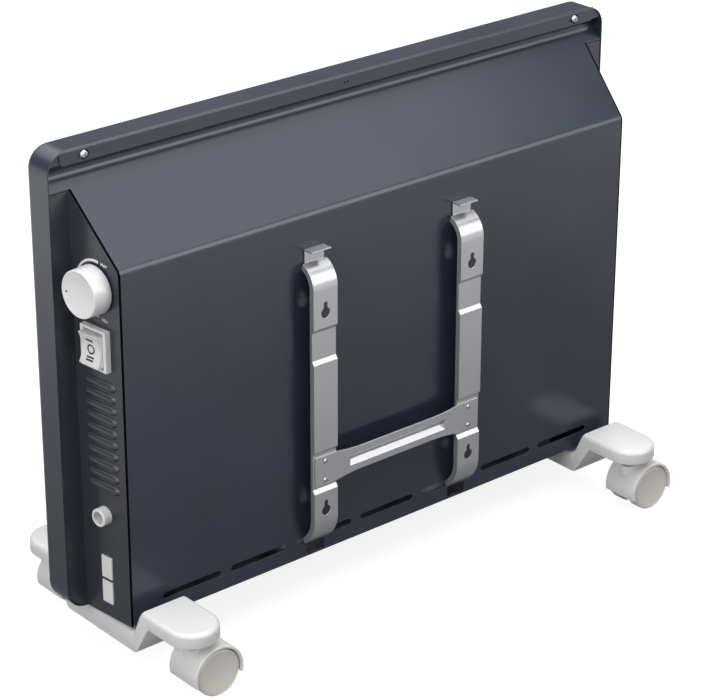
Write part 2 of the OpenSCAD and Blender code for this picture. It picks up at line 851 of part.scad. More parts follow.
module thermostat_screws() color(zinc)
    for (s = [-1, 1])
        on_wall(control_y, knob_z + s * thermostat_screw_pitch / 2)
            x_screw(2.8, 1, thermostat_screw_r, thermostat_screw_l);

// Knob: a turned cup with a dished face and a hub on the spindle's flat
knob_wall = 2.2;
knob_taper = 0.5;
knob_edge_r = 1.6;
dish = 1.6;
knob_web = 3;              // thickness of the face at the dish
hub_wall = 2.6;

module thermostat_knob() color(white) on_wall(control_y, knob_z) {
    face_r = knob_r - knob_taper;
    difference() {
        rotate([0, 90, 0])
            rotate_extrude($fn = 72)
                polygon(concat(
                    [[0, knob_gap], [knob_r, knob_gap]],
                    arc_points([face_r - knob_edge_r, knob_out - knob_edge_r], knob_edge_r, 0, 90, 4),
                    [[face_r - 3, knob_out - 0.4], [face_r - 6, knob_out - dish * 0.8],
                        [face_r * 0.4, knob_out - dish], [0, knob_out - dish]]
                ));
        rotate([0, 90, 0])
            rotate_extrude($fn = 72)
                polygon([
                    [spindle_r + hub_wall, knob_gap - 1], [knob_r - knob_wall, knob_gap - 1],
                    [face_r - knob_wall, knob_out - dish - knob_web],
                    [spindle_r + hub_wall, knob_out - dish - knob_web]
                ]);
        x_rod(-1, knob_gap + 2.2, 0, 0, spindle_r + hub_wall + 0.4);
        difference() {
            x_rod(-1, knob_out - spindle_cap_t, 0, 0, spindle_r + push);
            translate([knob_gap + spindle_flat_start + 0.1, spindle_r * spindle_flat + push, -spindle_r])
                cube([knob_out, spindle_r, 2 * spindle_r]);
        }
    }
}

// Switch

pivot_x = -4;              // rocker axis, inside the wall
rocker_tip = 10.2;         // reach of the rocker's two tips from the wall
rocker_valley = 7.1;       // reach of its hollow middle
rocker_half_h = 12.8;
rocker_w = 22.2;
rocker_skirt = -8;
pocket_h = 30.4;
pocket_w = rocker_w + 0.8;
pocket_end = rocker_skirt - 3.5;
housing_end = -21;
tab_end = -29;
tab_w = 4.8;
tab_pitch = 9;
tab_row = 6;               // distance of a row of tabs from the middle
rocker_pin_r = 1.5;

module switch_body() color(white) on_wall(switch_y, switch_z) difference() {
    union() {
        translate([0, -bezel_w / 2, -bezel_h / 2])
            cube([bezel_out, bezel_w, bezel_h]);
        translate([housing_end, -housing_w / 2, -housing_h / 2])
            cube([-housing_end, housing_w, housing_h]);
        for (y = [-tab_row, tab_row], i = [-1:1])
            translate([tab_end, y - tag_t / 2, i * tab_pitch - tab_w / 2])
                cube([housing_end - tab_end + 1, tag_t, tab_w]);
    }
    translate([pocket_end, -pocket_w / 2, -pocket_h / 2])
        cube([bezel_out - pocket_end + 1, pocket_w, pocket_h]);
    y_rod(pivot_x, -housing_w, housing_w, 0, rocker_pin_r + running);
}

module switch_rocker() color(white) on_wall(switch_y, switch_z) {
    tip_r = norm([rocker_tip - pivot_x, rocker_half_h]);
    tip_a = atan2(rocker_half_h, rocker_tip - pivot_x);
    bow = (pow(rocker_half_h, 2) + pow(rocker_tip - rocker_valley, 2)) / (2 * (rocker_tip - rocker_valley));
    bow_a = asin(rocker_half_h / bow);
    rotate([90, 0, 0])
        translate([0, 0, -rocker_w / 2])
            linear_extrude(rocker_w)
                polygon(concat(
                    arc_points([rocker_valley + bow, 0], bow, 180 - bow_a, 180 + bow_a, 12),
                    arc_points([pivot_x, 0], tip_r, -tip_a, -tip_a - 2, 2),
                    [[pivot_x, -rocker_half_h + 1], [rocker_skirt, -4], [rocker_skirt, 4],
                        [pivot_x, rocker_half_h - 1]],
                    arc_points([pivot_x, 0], tip_r, tip_a + 2, tip_a, 2)
                ));
    y_rod(pivot_x, -housing_w / 2 + 0.2, housing_w / 2 - 0.2, 0, rocker_pin_r);
}

// Cable bush and blanking caps

module cable_bush() color(white) on_wall(control_y, bush_z)
    rotate([0, 90, 0])
        rotate_extrude()
            polygon([
                [bush_bore_r, -9], [bush_neck_r, -9], [bush_neck_r, 0], [bush_r, 0],
                [bush_r, bush_out - 0.6], [bush_r - 0.6, bush_out], [bush_bore_r, bush_out]
            ]);

module blanking_cap(h) {
    cap_t = 1.2;
    on_wall(control_y, body_z + h) {
        translate([0, -cap_w / 2, -cap_h / 2])
            cube([cap_t, cap_w, cap_h]);
        translate([-4, -cap_neck_w / 2, -cap_neck_h / 2])
            cube([4.01, cap_neck_w, cap_neck_h]);
    }
}

module upper_blanking_cap() color(white)
    blanking_cap(cap_low_h + cap_pitch);

module lower_blanking_cap() color(white)
    blanking_cap(cap_low_h);

// Small electrical pieces on the inlet plate

terminal_w = 16;
terminal_h = 13;
terminal_pitch = 9;
terminal_count = 3;
terminal_gap = 6.3;                   // beyond the element
terminal_y = -32;

module terminal_block() color(ceramic)
    translate([element_l / 2 + terminal_gap, terminal_y, deck_z]) difference() {
    cube([terminal_w, terminal_count * terminal_pitch, terminal_h]);
    for (i = [0:terminal_count - 1])
        translate([0, (i + 0.5) * terminal_pitch, 0]) {
            x_rod(-1, terminal_w + 1, 0, terminal_h * 0.46, 2.2);
            for (x = [terminal_w / 4, terminal_w * 3 / 4])
                translate([x, 0, terminal_h / 2])
                    cylinder(h = terminal_h, r = 2);
        }
    for (i = [1:terminal_count - 1])
        translate([-1, i * terminal_pitch - 0.8, terminal_h - 4])
            cube([terminal_w + 2, 1.6, 5]);
}

tip_w = 20;
tip_d = 14;
tip_h = 26;
tip_ear = 2.5;
tip_gap = 3;                          // beyond the duct
tip_y = 22.5;
tag_w = 8;

module tip_over_switch() color(black) translate([duct_w / 2 + tip_gap + tip_ear, tip_y, deck_z]) {
    cube([tip_w, tip_d, tip_h]);
    translate([-tip_ear, 0, 0])
        cube([tip_w + 2 * tip_ear, tip_d, 2]);
    for (y = [tip_d / 4, tip_d * 3 / 4])
        translate([(tip_w - tag_w) / 2, y - tag_t / 2, tip_h - 0.5])
            cube([tag_w, tag_t, tag_h + 0.5]);
}

// Wall bracket

upright_x = bracket_pitch / 2;
proud_y = back_y + upright_out;
step_y = proud_y - step_d;
arch_drop = 60.3;
arch_z = knee_z - arch_drop;               // where the arch starts
heel_h = 41;
heel_z = body_z + heel_h;                  // where the lower curve starts
neck_y = back_y + bracket_t + loose;       // rear face of the neck, which is just clear of the casing
neck_w = 20;
arch_end = acos((neck_y - (proud_y - arch_r)) / arch_r);
heel_end = acos((back_y + 1.9 - (proud_y - heel_r)) / heel_r);
catch_plate_drop = 27.9;
catch_plate_z = knee_z - catch_plate_drop;
catch_plate_l = 9;
catch_y = back_y - sheet - 2;              // where the catch turns down behind the casing's sheet
catch_lip = 4;
upper_step_drop = 109.8;                   // of the upper recess's middle
upper_step_l = 28;
lower_step_l = 35.2;                       // of the recess that holds the cross bar
bar_sag = 0.2;                             // of the cross bar below its recess's middle
upper_step = [for (s = [1, -1]) knee_z - upper_step_drop + s * upper_step_l / 2];
lower_step = [for (s = [1, -1]) body_z + bar_h + bar_sag + s * lower_step_l / 2];
ramp = 3.2;

// The proud face from the arch's top down to the heel's tip
upright_path = concat(
    reversed(arc_points([proud_y - arch_r, arch_z], arch_r, 0, arch_end, 14)),
    [
        [proud_y, upper_step[0] + ramp / 2], [step_y, upper_step[0] - ramp / 2],
        [step_y, upper_step[1] + ramp / 2], [proud_y, upper_step[1] - ramp / 2],
        [proud_y, lower_step[0] + ramp / 2], [step_y, lower_step[0] - ramp / 2],
        [step_y, lower_step[1] + ramp / 2], [proud_y, lower_step[1] - ramp / 2]
    ],
    arc_points([proud_y - heel_r, heel_z], heel_r, 0, -heel_end, 10)
);

// The rear edge of the folded sides
edge_path = concat(
    arc_points([proud_y - arch_r, arch_z], arch_r - edge_d, arch_end, 0, 10),
    arc_points([proud_y - heel_r, heel_z], heel_r - edge_d, 0, -heel_end, 8)
);

module keyhole() {
    circle(keyhole_r);
    translate([0, (keyhole_l - keyhole_slot_w / 2) / 2])
        square([keyhole_slot_w, keyhole_l - keyhole_slot_w / 2], center = true);
    translate([0, keyhole_l - keyhole_slot_w / 2])
        circle(keyhole_slot_w / 2, $fn = 24);
}

// One upright, centred on x = 0
module upright() {
    half = upright_w / 2;
    difference() {
        union() {
            along_x(-half, half)
                polygon(concat(upright_path, reversed(inset_path(upright_path, -bracket_t))));
            intersection() {
                union() {
                    for (x = [-half, half - bracket_t])
                        along_x(x, x + bracket_t)
                            polygon(concat(upright_path, reversed(edge_path)));
                }
                box(-half, half, back_y + seam, proud_y + 1, body_z, top_z);
            }
            box(-neck_w / 2, neck_w / 2, neck_y - bracket_t, neck_y,
                arch_z + arch_r * sin(arch_end) - 1, catch_plate_z);
            box(-neck_w / 2, neck_w / 2, neck_y - bracket_t, neck_y + catch_plate_l,
                catch_plate_z - bracket_t, catch_plate_z);
            box(-catch_w / 2, catch_w / 2, catch_y, neck_y, catch_z - bracket_t, catch_z);
            box(-catch_w / 2, catch_w / 2, catch_y - bracket_t, catch_y,
                catch_z - bracket_t - catch_lip, catch_z);
        }
        for (z = [body_z + keyhole_low_h, knee_z - keyhole_drop])
            along_y(proud_y - 2 * bracket_t, proud_y + 1)
                translate([0, z])
                    keyhole();
        for (s = [-1, 1])
            y_rod(0, step_y - 2 * bracket_t, step_y + 1,
                body_z + bar_h + s * bar_screw_pitch / 2, bar_screw_r);
    }
}

bar_screw_r = 1.5;

module bracket_upright_left() color(zinc)
    translate([upright_x, 0, 0])
        upright();

module bracket_upright_right() color(zinc)
    translate([-upright_x, 0, 0])
        upright();

// Cross bar: wide ends on the uprights, a waist, and a groove pressed towards the casing

bar_flare = 28;                            // length over which the bar widens to its ends
bar_waist_x = upright_x - upright_w / 2 - bar_flare;
groove_half = 4.8;
groove_d = 3.2;
groove_end = 27;
groove_x = upright_x - groove_end;

// Half height of the bar at a place along it
function bar_half(x) = let (
    t = min(1, max(0, (abs(x) - bar_waist_x) / (upright_x - upright_w / 2 - bar_waist_x)))
) bar_mid_h / 2 + (bar_end_h - bar_mid_h) / 2 * t * t;

bar_xs = [for (i = [-16:16]) (upright_x + upright_w / 2 - bracket_t - 0.6) * i / 16];

module groove_prism(depth, half, length) {
    along_x(-length, length)
        polygon([[step_y + bracket_t + 0.01, half + 0.01], [step_y + bracket_t - depth, 0.8],
            [step_y + bracket_t - depth, -0.8], [step_y + bracket_t + 0.01, -half - 0.01]]);
}

module bracket_cross_bar() color(zinc) translate([0, 0, body_z + bar_h]) difference() {
    union() {
        along_y(step_y, step_y + bracket_t)
            polygon(concat(
                [for (x = bar_xs) [x, bar_half(x)]],
                reversed([for (x = bar_xs) [x, -bar_half(x)]])
            ));
        groove_prism(groove_d + bracket_t, groove_half + 0.6, groove_x + bracket_t);
    }
    groove_prism(groove_d, groove_half, groove_x);
    for (sx = [-1, 1], sz = [-1, 1])
        y_rod(sx * upright_x, step_y - 1, step_y + bracket_t + 1, sz * bar_screw_pitch / 2, bar_screw_r);
}

module bracket_screws() color(zinc)
    for (sx = [-1, 1], sz = [-1, 1])
        translate([sx * upright_x, step_y + bracket_t, body_z + bar_h + sz * bar_screw_pitch / 2])
            y_screw(2.2, 1.3, bar_screw_r, 2 * bracket_t + 1.5);

// Feet

stem_y = stem_pitch / 2;
pad_z = body_z + pad_rise;
pad_top = pad_z + pad_t;
channel_top = body_z - channel_gap;
channel_z = channel_top - channel_h;
riser_in_y = back_y + 0.4;
riser_pad_y = riser_in_y + 10.6;
riser_out_y = riser_in_y + 2.2;
riser_under_y = riser_in_y + 20;
pad_half = foot_w / 2;
foot_wall = 3;
foot_boss_r = 5.5;
seat_w = 26;
seat_y0 = rim_y + 0.4;
seat_y1 = flange_in_y - 0.4;

// The corner b between a and c, rounded by radius r in n steps
function rounded_corner(a, b, c, r, n) =
    let (
        u = unit(a - b),
        v = unit(c - b),
        half = acos(u * v) / 2,
        p = b + u * r / tan(half),
        m = b + unit(u + v) * r / sin(half),
        q = b + v * r / tan(half),
        a0 = atan2(p[1] - m[1], p[0] - m[0]),
        turn = atan2(q[1] - m[1], q[0] - m[0]) - a0
    )
    arc_points(m, r, a0, a0 + (turn > 180 ? turn - 360 : turn < -180 ? turn + 360 : turn), n);

// One riser with its rounded corners, from the channel's underside round to its top
riser_outline = concat(
    rounded_corner([0, channel_z], [riser_out_y, channel_z], [riser_under_y, pad_z], 4, 6),
    rounded_corner([riser_out_y, channel_z], [riser_under_y, pad_z], [stem_y, pad_z], 3, 5),
    [[riser_under_y + 3, pad_z], [riser_under_y + 3, pad_top - pad_edge_r],
        [riser_pad_y, pad_top - pad_edge_r], [riser_in_y, channel_top]]
);

// Channel and risers seen from the side, from front to rear
foot_outline = concat(riser_outline, [for (p = reversed(riser_outline)) [-p[0], p[1]]]);

// One pad at the rear: straight sides, a round end and a rounded upper edge
module pad() {
    r = pad_edge_r;
    l = stem_y - riser_pad_y;
    translate([0, stem_y, pad_z])
        cylinder(h = pad_t - r, r = pad_half);
    box(-pad_half, pad_half, riser_under_y + 2, stem_y, pad_z, pad_top - r);
    translate([0, stem_y, pad_top - r - 0.01])
        cylinder(h = r + 0.01, r = pad_half - r);
    translate([0, stem_y, pad_top - r])
        rotate_extrude()
            translate([pad_half - r, 0])
                circle(r, $fn = 24);
    box(-pad_half + r, pad_half - r, stem_y - l, stem_y, pad_top - r - 0.01, pad_top);
    for (s = [-1, 1])
        y_rod(s * (pad_half - r), stem_y - l, stem_y, pad_top - r, r);
}

module foot() {
    difference() {
        union() {
            along_x(-pad_half, pad_half)
                polygon(foot_outline);
            pad();
            mirror([0, 1, 0])
                pad();
            box(-seat_w / 2, seat_w / 2, seat_y0, seat_y1, channel_top - 0.01, floor_z);
        }
        difference() {
            box(-pad_half + foot_wall, pad_half - foot_wall, -riser_in_y + 1, riser_in_y - 1,
                channel_z - 1, channel_top - foot_wall);
            for (y = foot_screw_ys)
                translate([0, y, channel_z + foot_screw_rise])
                    cylinder(h = channel_h, r = foot_boss_r);
        }
        for (y = foot_screw_ys)
            translate([0, y, channel_z - 1])
                cylinder(h = channel_h + channel_gap + 5, r = foot_screw_r + hole_gap / 2);
        for (s = [-1, 1])
            translate([s * (pad_half - channel_edge_r), 0, channel_top - channel_edge_r])
                difference() {
                    box(s > 0 ? 0 : -channel_edge_r - 1, s > 0 ? channel_edge_r + 1 : 0,
                        -riser_in_y, riser_in_y, 0, channel_edge_r + 1);
                    y_rod(0, -riser_in_y - 1, riser_in_y + 1, 0, channel_edge_r);
                }
        for (s = [-1, 1])
            translate([0, s * stem_y, pad_z - 1])
                cylinder(h = pad_t - 2.5, r = stem_r + seam / 2);
    }
}

module foot_left() color(white)
    translate([foot_x, 0, 0])
        foot();

module foot_right() color(white)
    translate([-foot_x, 0, 0])
        foot();

module foot_screws() color(zinc)
    for (s = [-1, 1], y = foot_screw_ys)
        translate([s * foot_x, y, channel_z + foot_screw_rise])
            rotate([0, 90, 0])
                x_screw(foot_screw_head_r, foot_screw_head_h, foot_screw_r, channel_h + channel_gap + 1.5);

// Castors

axle_z = wheel_r;
socket_z = axle_z + socket_h;
wheel_y0 = hood_w / 2 - wheel_inset - wheel_w;
web_half = wheel_y0 - 0.4;
wheel_y1 = wheel_y0 + wheel_w;
axle_end = 3.5;                       // distance of the axle's ends inside the wheels' faces
hood_cut_drop = 6;
hood_cut_z = axle_z - hood_cut_drop;
stem_deep = 12;

// Children are placed with the stem's axis at x = y = 0
module at_castor(sx, sy) {
    translate([sx * foot_x, sy * stem_y, 0])
        children();
}

module castor_stem() color(zinc) {
    translate([0, 0, socket_z - stem_deep])
        cylinder(h = pad_z + pad_t - 4 - (socket_z - stem_deep), r = stem_r);
    translate([0, 0, socket_z + loose])
        cylinder(h = pad_z - socket_z - loose, r = stem_r + 1.5);
}

module castor_hood() color(white) difference() {
    union() {
        y_rod(-trail, -hood_w / 2, hood_w / 2, axle_z, hood_r);
        translate([0, 0, axle_z + 2])
            cylinder(h = socket_h - 2, r = socket_r);
    }
    for (y = [-hood_w / 2 - 1, web_half])
        y_rod(-trail, y, y + hood_w / 2 + 1 - web_half, axle_z, hood_r - hood_wall);
    box(-trail - 2 * hood_r, 2 * hood_r, -hood_w, hood_w, axle_z - 2 * hood_r, hood_cut_z);
    translate([0, 0, socket_z - stem_deep - 0.3])
        cylinder(h = stem_deep + 2, r = stem_r + running);
    y_rod(-trail, -hood_w, hood_w, axle_z, axle_r + push);
}

module castor_axle() color(zinc)
    y_rod(-trail, -wheel_y1 + axle_end, wheel_y1 - axle_end, axle_z, axle_r);

// A wheel with a rounded tread and a hollow inner side; its flat disc faces outwards
wheel_edge_r = 1.2;
wheel_hub_wall = 3;
wheel_tread_t = 4;
wheel_disc_t = 4.5;
wheel_bore_end = 3.3;

module wheel() {
    e = wheel_edge_r;
    inner_r = wheel_r - wheel_tread_t;
    hub_r = axle_r + wheel_hub_wall;
    rotate([-90, 0, 0])
        rotate_extrude($fn = 72)
            polygon(concat(
                [[axle_r + running, 0], [hub_r, 0], [hub_r, wheel_w - wheel_disc_t],
                    [inner_r, wheel_w - wheel_disc_t], [inner_r, 0], [wheel_r - e, 0], [wheel_r, e]],
                arc_points([wheel_r - e, wheel_w - e], e, 0, 90, 4),
                [[wheel_r - 3, wheel_w], [wheel_r - 5, wheel_w - 0.7], [0, wheel_w - 1],
                    [0, wheel_w - wheel_bore_end], [axle_r + running, wheel_w - wheel_bore_end]]
            ));
}

module back_wheel() color(ivory)
    translate([-trail, wheel_y0, axle_z])
        wheel();

module front_wheel() color(ivory)
    translate([-trail, -wheel_y0, axle_z])
        mirror([0, 1, 0])
            wheel();

front_panel();
outlet_grille();
rear_casing();
control_end_wall();
plain_end_wall();
inlet_plate();
lip_screws();
air_duct();
duct_screws();
heating_element();
element_bracket_left();
element_bracket_right();
element_insulators();
thermal_cutout();
thermostat_body();
thermostat_spindle();
thermostat_screws();
thermostat_knob();
switch_body();
switch_rocker();
cable_bush();
upper_blanking_cap();
lower_blanking_cap();
terminal_block();
tip_over_switch();
bracket_upright_left();
bracket_upright_right();
bracket_cross_bar();
bracket_screws();
foot_left();
foot_right();
foot_screws();
at_castor(1, 1) castor_stem();  // rear_left_castor_stem
at_castor(1, 1) castor_hood();  // rear_left_castor_hood
at_castor(1, 1) castor_axle();  // rear_left_castor_axle
at_castor(1, 1) back_wheel();  // rear_left_back_wheel
at_castor(1, 1) front_wheel();  // rear_left_front_wheel
at_castor(-1, 1) castor_stem();  // rear_right_castor_stem
at_castor(-1, 1) castor_hood();  // rear_right_castor_hood
at_castor(-1, 1) castor_axle();  // rear_right_castor_axle
at_castor(-1, 1) back_wheel();  // rear_right_back_wheel
at_castor(-1, 1) front_wheel();  // rear_right_front_wheel
at_castor(1, -1) castor_stem();  // front_left_castor_stem
at_castor(1, -1) castor_hood();  // front_left_castor_hood
at_castor(1, -1) castor_axle();  // front_left_castor_axle
at_castor(1, -1) back_wheel();  // front_left_back_wheel
at_castor(1, -1) front_wheel();  // front_left_front_wheel
at_castor(-1, -1) castor_stem();  // front_right_castor_stem
at_castor(-1, -1) castor_hood();  // front_right_castor_hood
at_castor(-1, -1) castor_axle();  // front_right_castor_axle
at_castor(-1, -1) back_wheel();  // front_right_back_wheel
at_castor(-1, -1) front_wheel();  // front_right_front_wheel
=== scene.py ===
import json
import math

import bmesh
import bpy
import numpy as np
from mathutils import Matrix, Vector


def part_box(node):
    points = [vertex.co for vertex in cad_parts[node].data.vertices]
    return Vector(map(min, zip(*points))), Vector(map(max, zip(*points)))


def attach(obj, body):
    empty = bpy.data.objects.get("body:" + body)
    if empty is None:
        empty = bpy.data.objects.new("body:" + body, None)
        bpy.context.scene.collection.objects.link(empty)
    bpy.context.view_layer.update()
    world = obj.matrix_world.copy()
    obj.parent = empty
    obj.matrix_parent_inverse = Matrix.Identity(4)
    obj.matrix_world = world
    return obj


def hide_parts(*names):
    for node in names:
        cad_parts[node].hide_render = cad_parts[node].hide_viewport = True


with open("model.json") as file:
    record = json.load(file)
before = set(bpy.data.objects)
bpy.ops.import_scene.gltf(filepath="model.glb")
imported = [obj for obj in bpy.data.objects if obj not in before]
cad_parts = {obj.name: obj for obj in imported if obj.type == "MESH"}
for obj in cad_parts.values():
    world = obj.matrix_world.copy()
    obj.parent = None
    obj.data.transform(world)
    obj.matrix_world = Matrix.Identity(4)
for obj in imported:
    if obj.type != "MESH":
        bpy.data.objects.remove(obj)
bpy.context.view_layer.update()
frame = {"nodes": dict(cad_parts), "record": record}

scene = bpy.context.scene
mm = 0.001

# Places that several pieces share, in millimetres, as in the construction. The controls' middle line lies a set
# distance behind the panel's front
body = dict(frontY=-37.75, wallY=-9.05, backY=45.15, baseZ=46.5, wallX=275.75, wallBackX=270.25, controlBack=56.0)
wallLean = math.atan((body["wallX"] - body["wallBackX"]) / (body["backY"] - body["wallY"]))
wallOut = np.array([math.cos(wallLean), math.sin(wallLean), 0.0])
wallAlong = np.array([-math.sin(wallLean), math.cos(wallLean), 0.0])
wallStart = np.array([body["wallX"], body["wallY"], 0.0])
controlY = (body["frontY"] + body["controlBack"] - body["wallY"]) / math.cos(wallLean)


# A point on the control wall: out from it, along it and up, added as three directions
def onWall(out, along, up):
    out, along, up = np.broadcast_arrays(out, along, up)
    place = wallStart + out[..., None] * wallOut + along[..., None] * wallAlong
    place[..., 2] += up
    return place


# Quads between neighbours of a rows by columns grid, wrapped round where the form is closed
def gridFaces(rows, columns, wrapRows=False, wrapColumns=False):
    r = np.arange(rows if wrapRows else rows - 1)
    c = np.arange(columns if wrapColumns else columns - 1)
    r, c = np.meshgrid(r, c, indexing="ij")
    r2, c2 = (r + 1) % rows, (c + 1) % columns
    return np.stack([r * columns + c, r2 * columns + c, r2 * columns + c2, r * columns + c2], -1).reshape(-1, 4)


# Triangles from each edge of closed loops to the loop's own middle point, which comes after the loop's points
def fanFaces(count, start, middle):
    i = np.arange(count)
    return np.stack([start + i, start + (i + 1) % count, np.full(count, middle)], -1)


# Several forms, each a pair of points and quads with optional triangles, joined into one list
def joinForms(*forms):
    points, quads, triangles, start = [], [], [], 0
    for form in forms:
        place = np.asarray(form[0], float).reshape(-1, 3)
        points.append(place)
        quads.append(np.asarray(form[1], int).reshape(-1, 4) + start)
        if len(form) > 2:
            triangles.append(np.asarray(form[2], int).reshape(-1, 3) + start)
        start += len(place)
    triangles = np.concatenate(triangles) if triangles else np.zeros((0, 3), int)
    return np.concatenate(points), np.concatenate(quads), triangles


# A mesh object from forms in millimetres: doubles merged, normals outwards, edges over an angle sharp
def makePiece(name, forms, bodyName, material, sharpAngle=32.0, replaces=()):
    points, quads, triangles = joinForms(*forms)
    mesh = bpy.data.meshes.new(name)
    mesh.vertices.add(len(points))
    mesh.vertices.foreach_set("co", (points * mm).astype(np.float32).ravel())
    corners = np.concatenate([quads.ravel(), triangles.ravel()]).astype(np.int32)
    mesh.loops.add(len(corners))
    mesh.loops.foreach_set("vertex_index", corners)
    mesh.polygons.add(len(quads) + len(triangles))
    starts = np.concatenate([np.arange(len(quads)) * 4, quads.size + np.arange(len(triangles)) * 3])
    mesh.polygons.foreach_set("loop_start", starts.astype(np.int32))
    mesh.update(calc_edges=True)
    work = bmesh.new()
    work.from_mesh(mesh)
    bmesh.ops.remove_doubles(work, verts=work.verts, dist=1e-6)
    bmesh.ops.dissolve_degenerate(work, edges=work.edges, dist=1e-7)
    bmesh.ops.recalc_face_normals(work, faces=work.faces)
    work.to_mesh(mesh)
    work.free()
    mesh.polygons.foreach_set("use_smooth", np.ones(len(mesh.polygons), bool))
    mesh.set_sharp_from_angle(angle=math.radians(sharpAngle))
    mesh.validate()
    piece = bpy.data.objects.new(name, mesh)
    scene.collection.objects.link(piece)
    mesh.materials.append(material)
    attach(piece, bodyName)
    if replaces:
        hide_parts(*replaces)
    return piece


# Materials

# A principled material with its main values set
def newMaterial(name, color, rough, metal=0.0, specular=0.5):
    material = bpy.data.materials.new(name)
    material.use_nodes = True
    tree = material.node_tree
    shader = tree.nodes["Principled BSDF"]
    shader.inputs["Base Color"].default_value = (*color, 1.0)
    shader.inputs["Roughness"].default_value = rough
    shader.inputs["Metallic"].default_value = metal
    shader.inputs["Specular IOR Level"].default_value = specular
    return material, tree, shader


# Noise on object coordinates, stretched by three factors
def addNoise(tree, scale, detail=4.0, stretch=(1.0, 1.0, 1.0)):
    coords = tree.nodes.new("ShaderNodeTexCoord")
    mapping = tree.nodes.new("ShaderNodeMapping")
    mapping.inputs["Scale"].default_value = stretch
    noise = tree.nodes.new("ShaderNodeTexNoise")
    noise.inputs["Scale"].default_value = scale
    noise.inputs["Detail"].default_value = detail
    tree.links.new(coords.outputs["Object"], mapping.inputs["Vector"])
    tree.links.new(mapping.outputs["Vector"], noise.inputs["Vector"])
    return noise.outputs["Fac"]


# A value moved linearly from one span to another
def addRange(tree, value, low, high, newLow, newHigh):
    node = tree.nodes.new("ShaderNodeMapRange")
    node.inputs["From Min"].default_value = low
    node.inputs["From Max"].default_value = high
    node.inputs["To Min"].default_value = newLow
    node.inputs["To Max"].default_value = newHigh
    tree.links.new(value, node.inputs["Value"])
    return node.outputs["Result"]


# Two colours mixed by a value
def addMix(tree, factor, colorA, colorB):
    node = tree.nodes.new("ShaderNodeMix")
    node.data_type = "RGBA"
    node.inputs["A"].default_value = (*colorA, 1.0)
    node.inputs["B"].default_value = (*colorB, 1.0)
    tree.links.new(factor, node.inputs["Factor"])
    return node.outputs["Result"]


# A colour that moves with a noise between a darker and a lighter shade of the given one
def addClouds(tree, shader, noise, color, dark, light):
    factor = addRange(tree, noise, 0.3, 0.7, 0.0, 1.0)
    tree.links.new(addMix(tree, factor, shaded(color, dark), shaded(color, light)), shader.inputs["Base Color"])


# A roughness that moves with a noise from one value to another
def addGloss(tree, shader, noise, low, high):
    tree.links.new(addRange(tree, noise, 0.3, 0.7, low, high), shader.inputs["Roughness"])


# Bumps of a given height on edges rounded by a given radius, both in millimetres
def addSurface(tree, shader, height, bumpHeight, edgeRadius):
    bump = tree.nodes.new("ShaderNodeBump")
    bump.inputs["Strength"].default_value = 1.0
    bump.inputs["Distance"].default_value = bumpHeight * mm
    tree.links.new(height, bump.inputs["Height"])
    if edgeRadius > 0:
        edge = tree.nodes.new("ShaderNodeBevel")
        edge.samples = 6
        edge.inputs["Radius"].default_value = edgeRadius * mm
        tree.links.new(edge.outputs["Normal"], bump.inputs["Normal"])
    tree.links.new(bump.outputs["Normal"], shader.inputs["Normal"])


# A colour multiplied by a factor, up to 1
def shaded(color, factor):
    return tuple(min(1.0, c * factor) for c in color)


# Powder coat: fine orange peel, faint clouds in colour and gloss
def powderCoat(name, color, rough, peel=0.02, edgeRadius=0.35):
    material, tree, shader = newMaterial(name, color, rough, specular=0.36)
    clouds = addNoise(tree, 14.0, 3.0)
    peelNoise = addNoise(tree, 1400.0, 2.0)
    addClouds(tree, shader, clouds, color, 0.93, 1.07)
    addGloss(tree, shader, clouds, rough - 0.04, rough + 0.04)
    addSurface(tree, shader, peelNoise, peel, edgeRadius)
    return material


# Moulded plastic: soft moulding waves, a very fine grain and slightly uneven gloss
def mouldedPlastic(name, color, rough, grain=0.008, edgeRadius=0.5, specular=0.5):
    material, tree, shader = newMaterial(name, color, rough, specular=specular)
    shader.inputs["IOR"].default_value = 1.5
    clouds = addNoise(tree, 40.0, 2.0)
    grainNoise = addNoise(tree, 900.0, 3.0)
    addClouds(tree, shader, clouds, color, 0.992, 1.005)
    addGloss(tree, shader, clouds, rough - 0.006, rough + 0.01)
    addSurface(tree, shader, grainNoise, grain, edgeRadius)
    return material


# Plated sheet steel: rolling streaks along the axis that is stretched least, faint blotches and slightly uneven gloss.
# The last value makes the blotches and the gloss's changes weaker or stronger
def platedSteel(name, color, rough, stretch=(60.0, 60.0, 4.0), edgeRadius=0.4, streakHeight=0.002, metal=1.0,
                uneven=1.0):
    material, tree, shader = newMaterial(name, color, rough, metal)
    streaks = addNoise(tree, 30.0, 5.0, stretch)
    blotches = addNoise(tree, 90.0, 3.0)
    addClouds(tree, shader, blotches, color, 1.0 - 0.04 * uneven, 1.0 + 0.03 * uneven)
    addGloss(tree, shader, streaks, rough - 0.02 * uneven, rough + 0.03 * uneven)
    addSurface(tree, shader, streaks, streakHeight, edgeRadius)
    return material


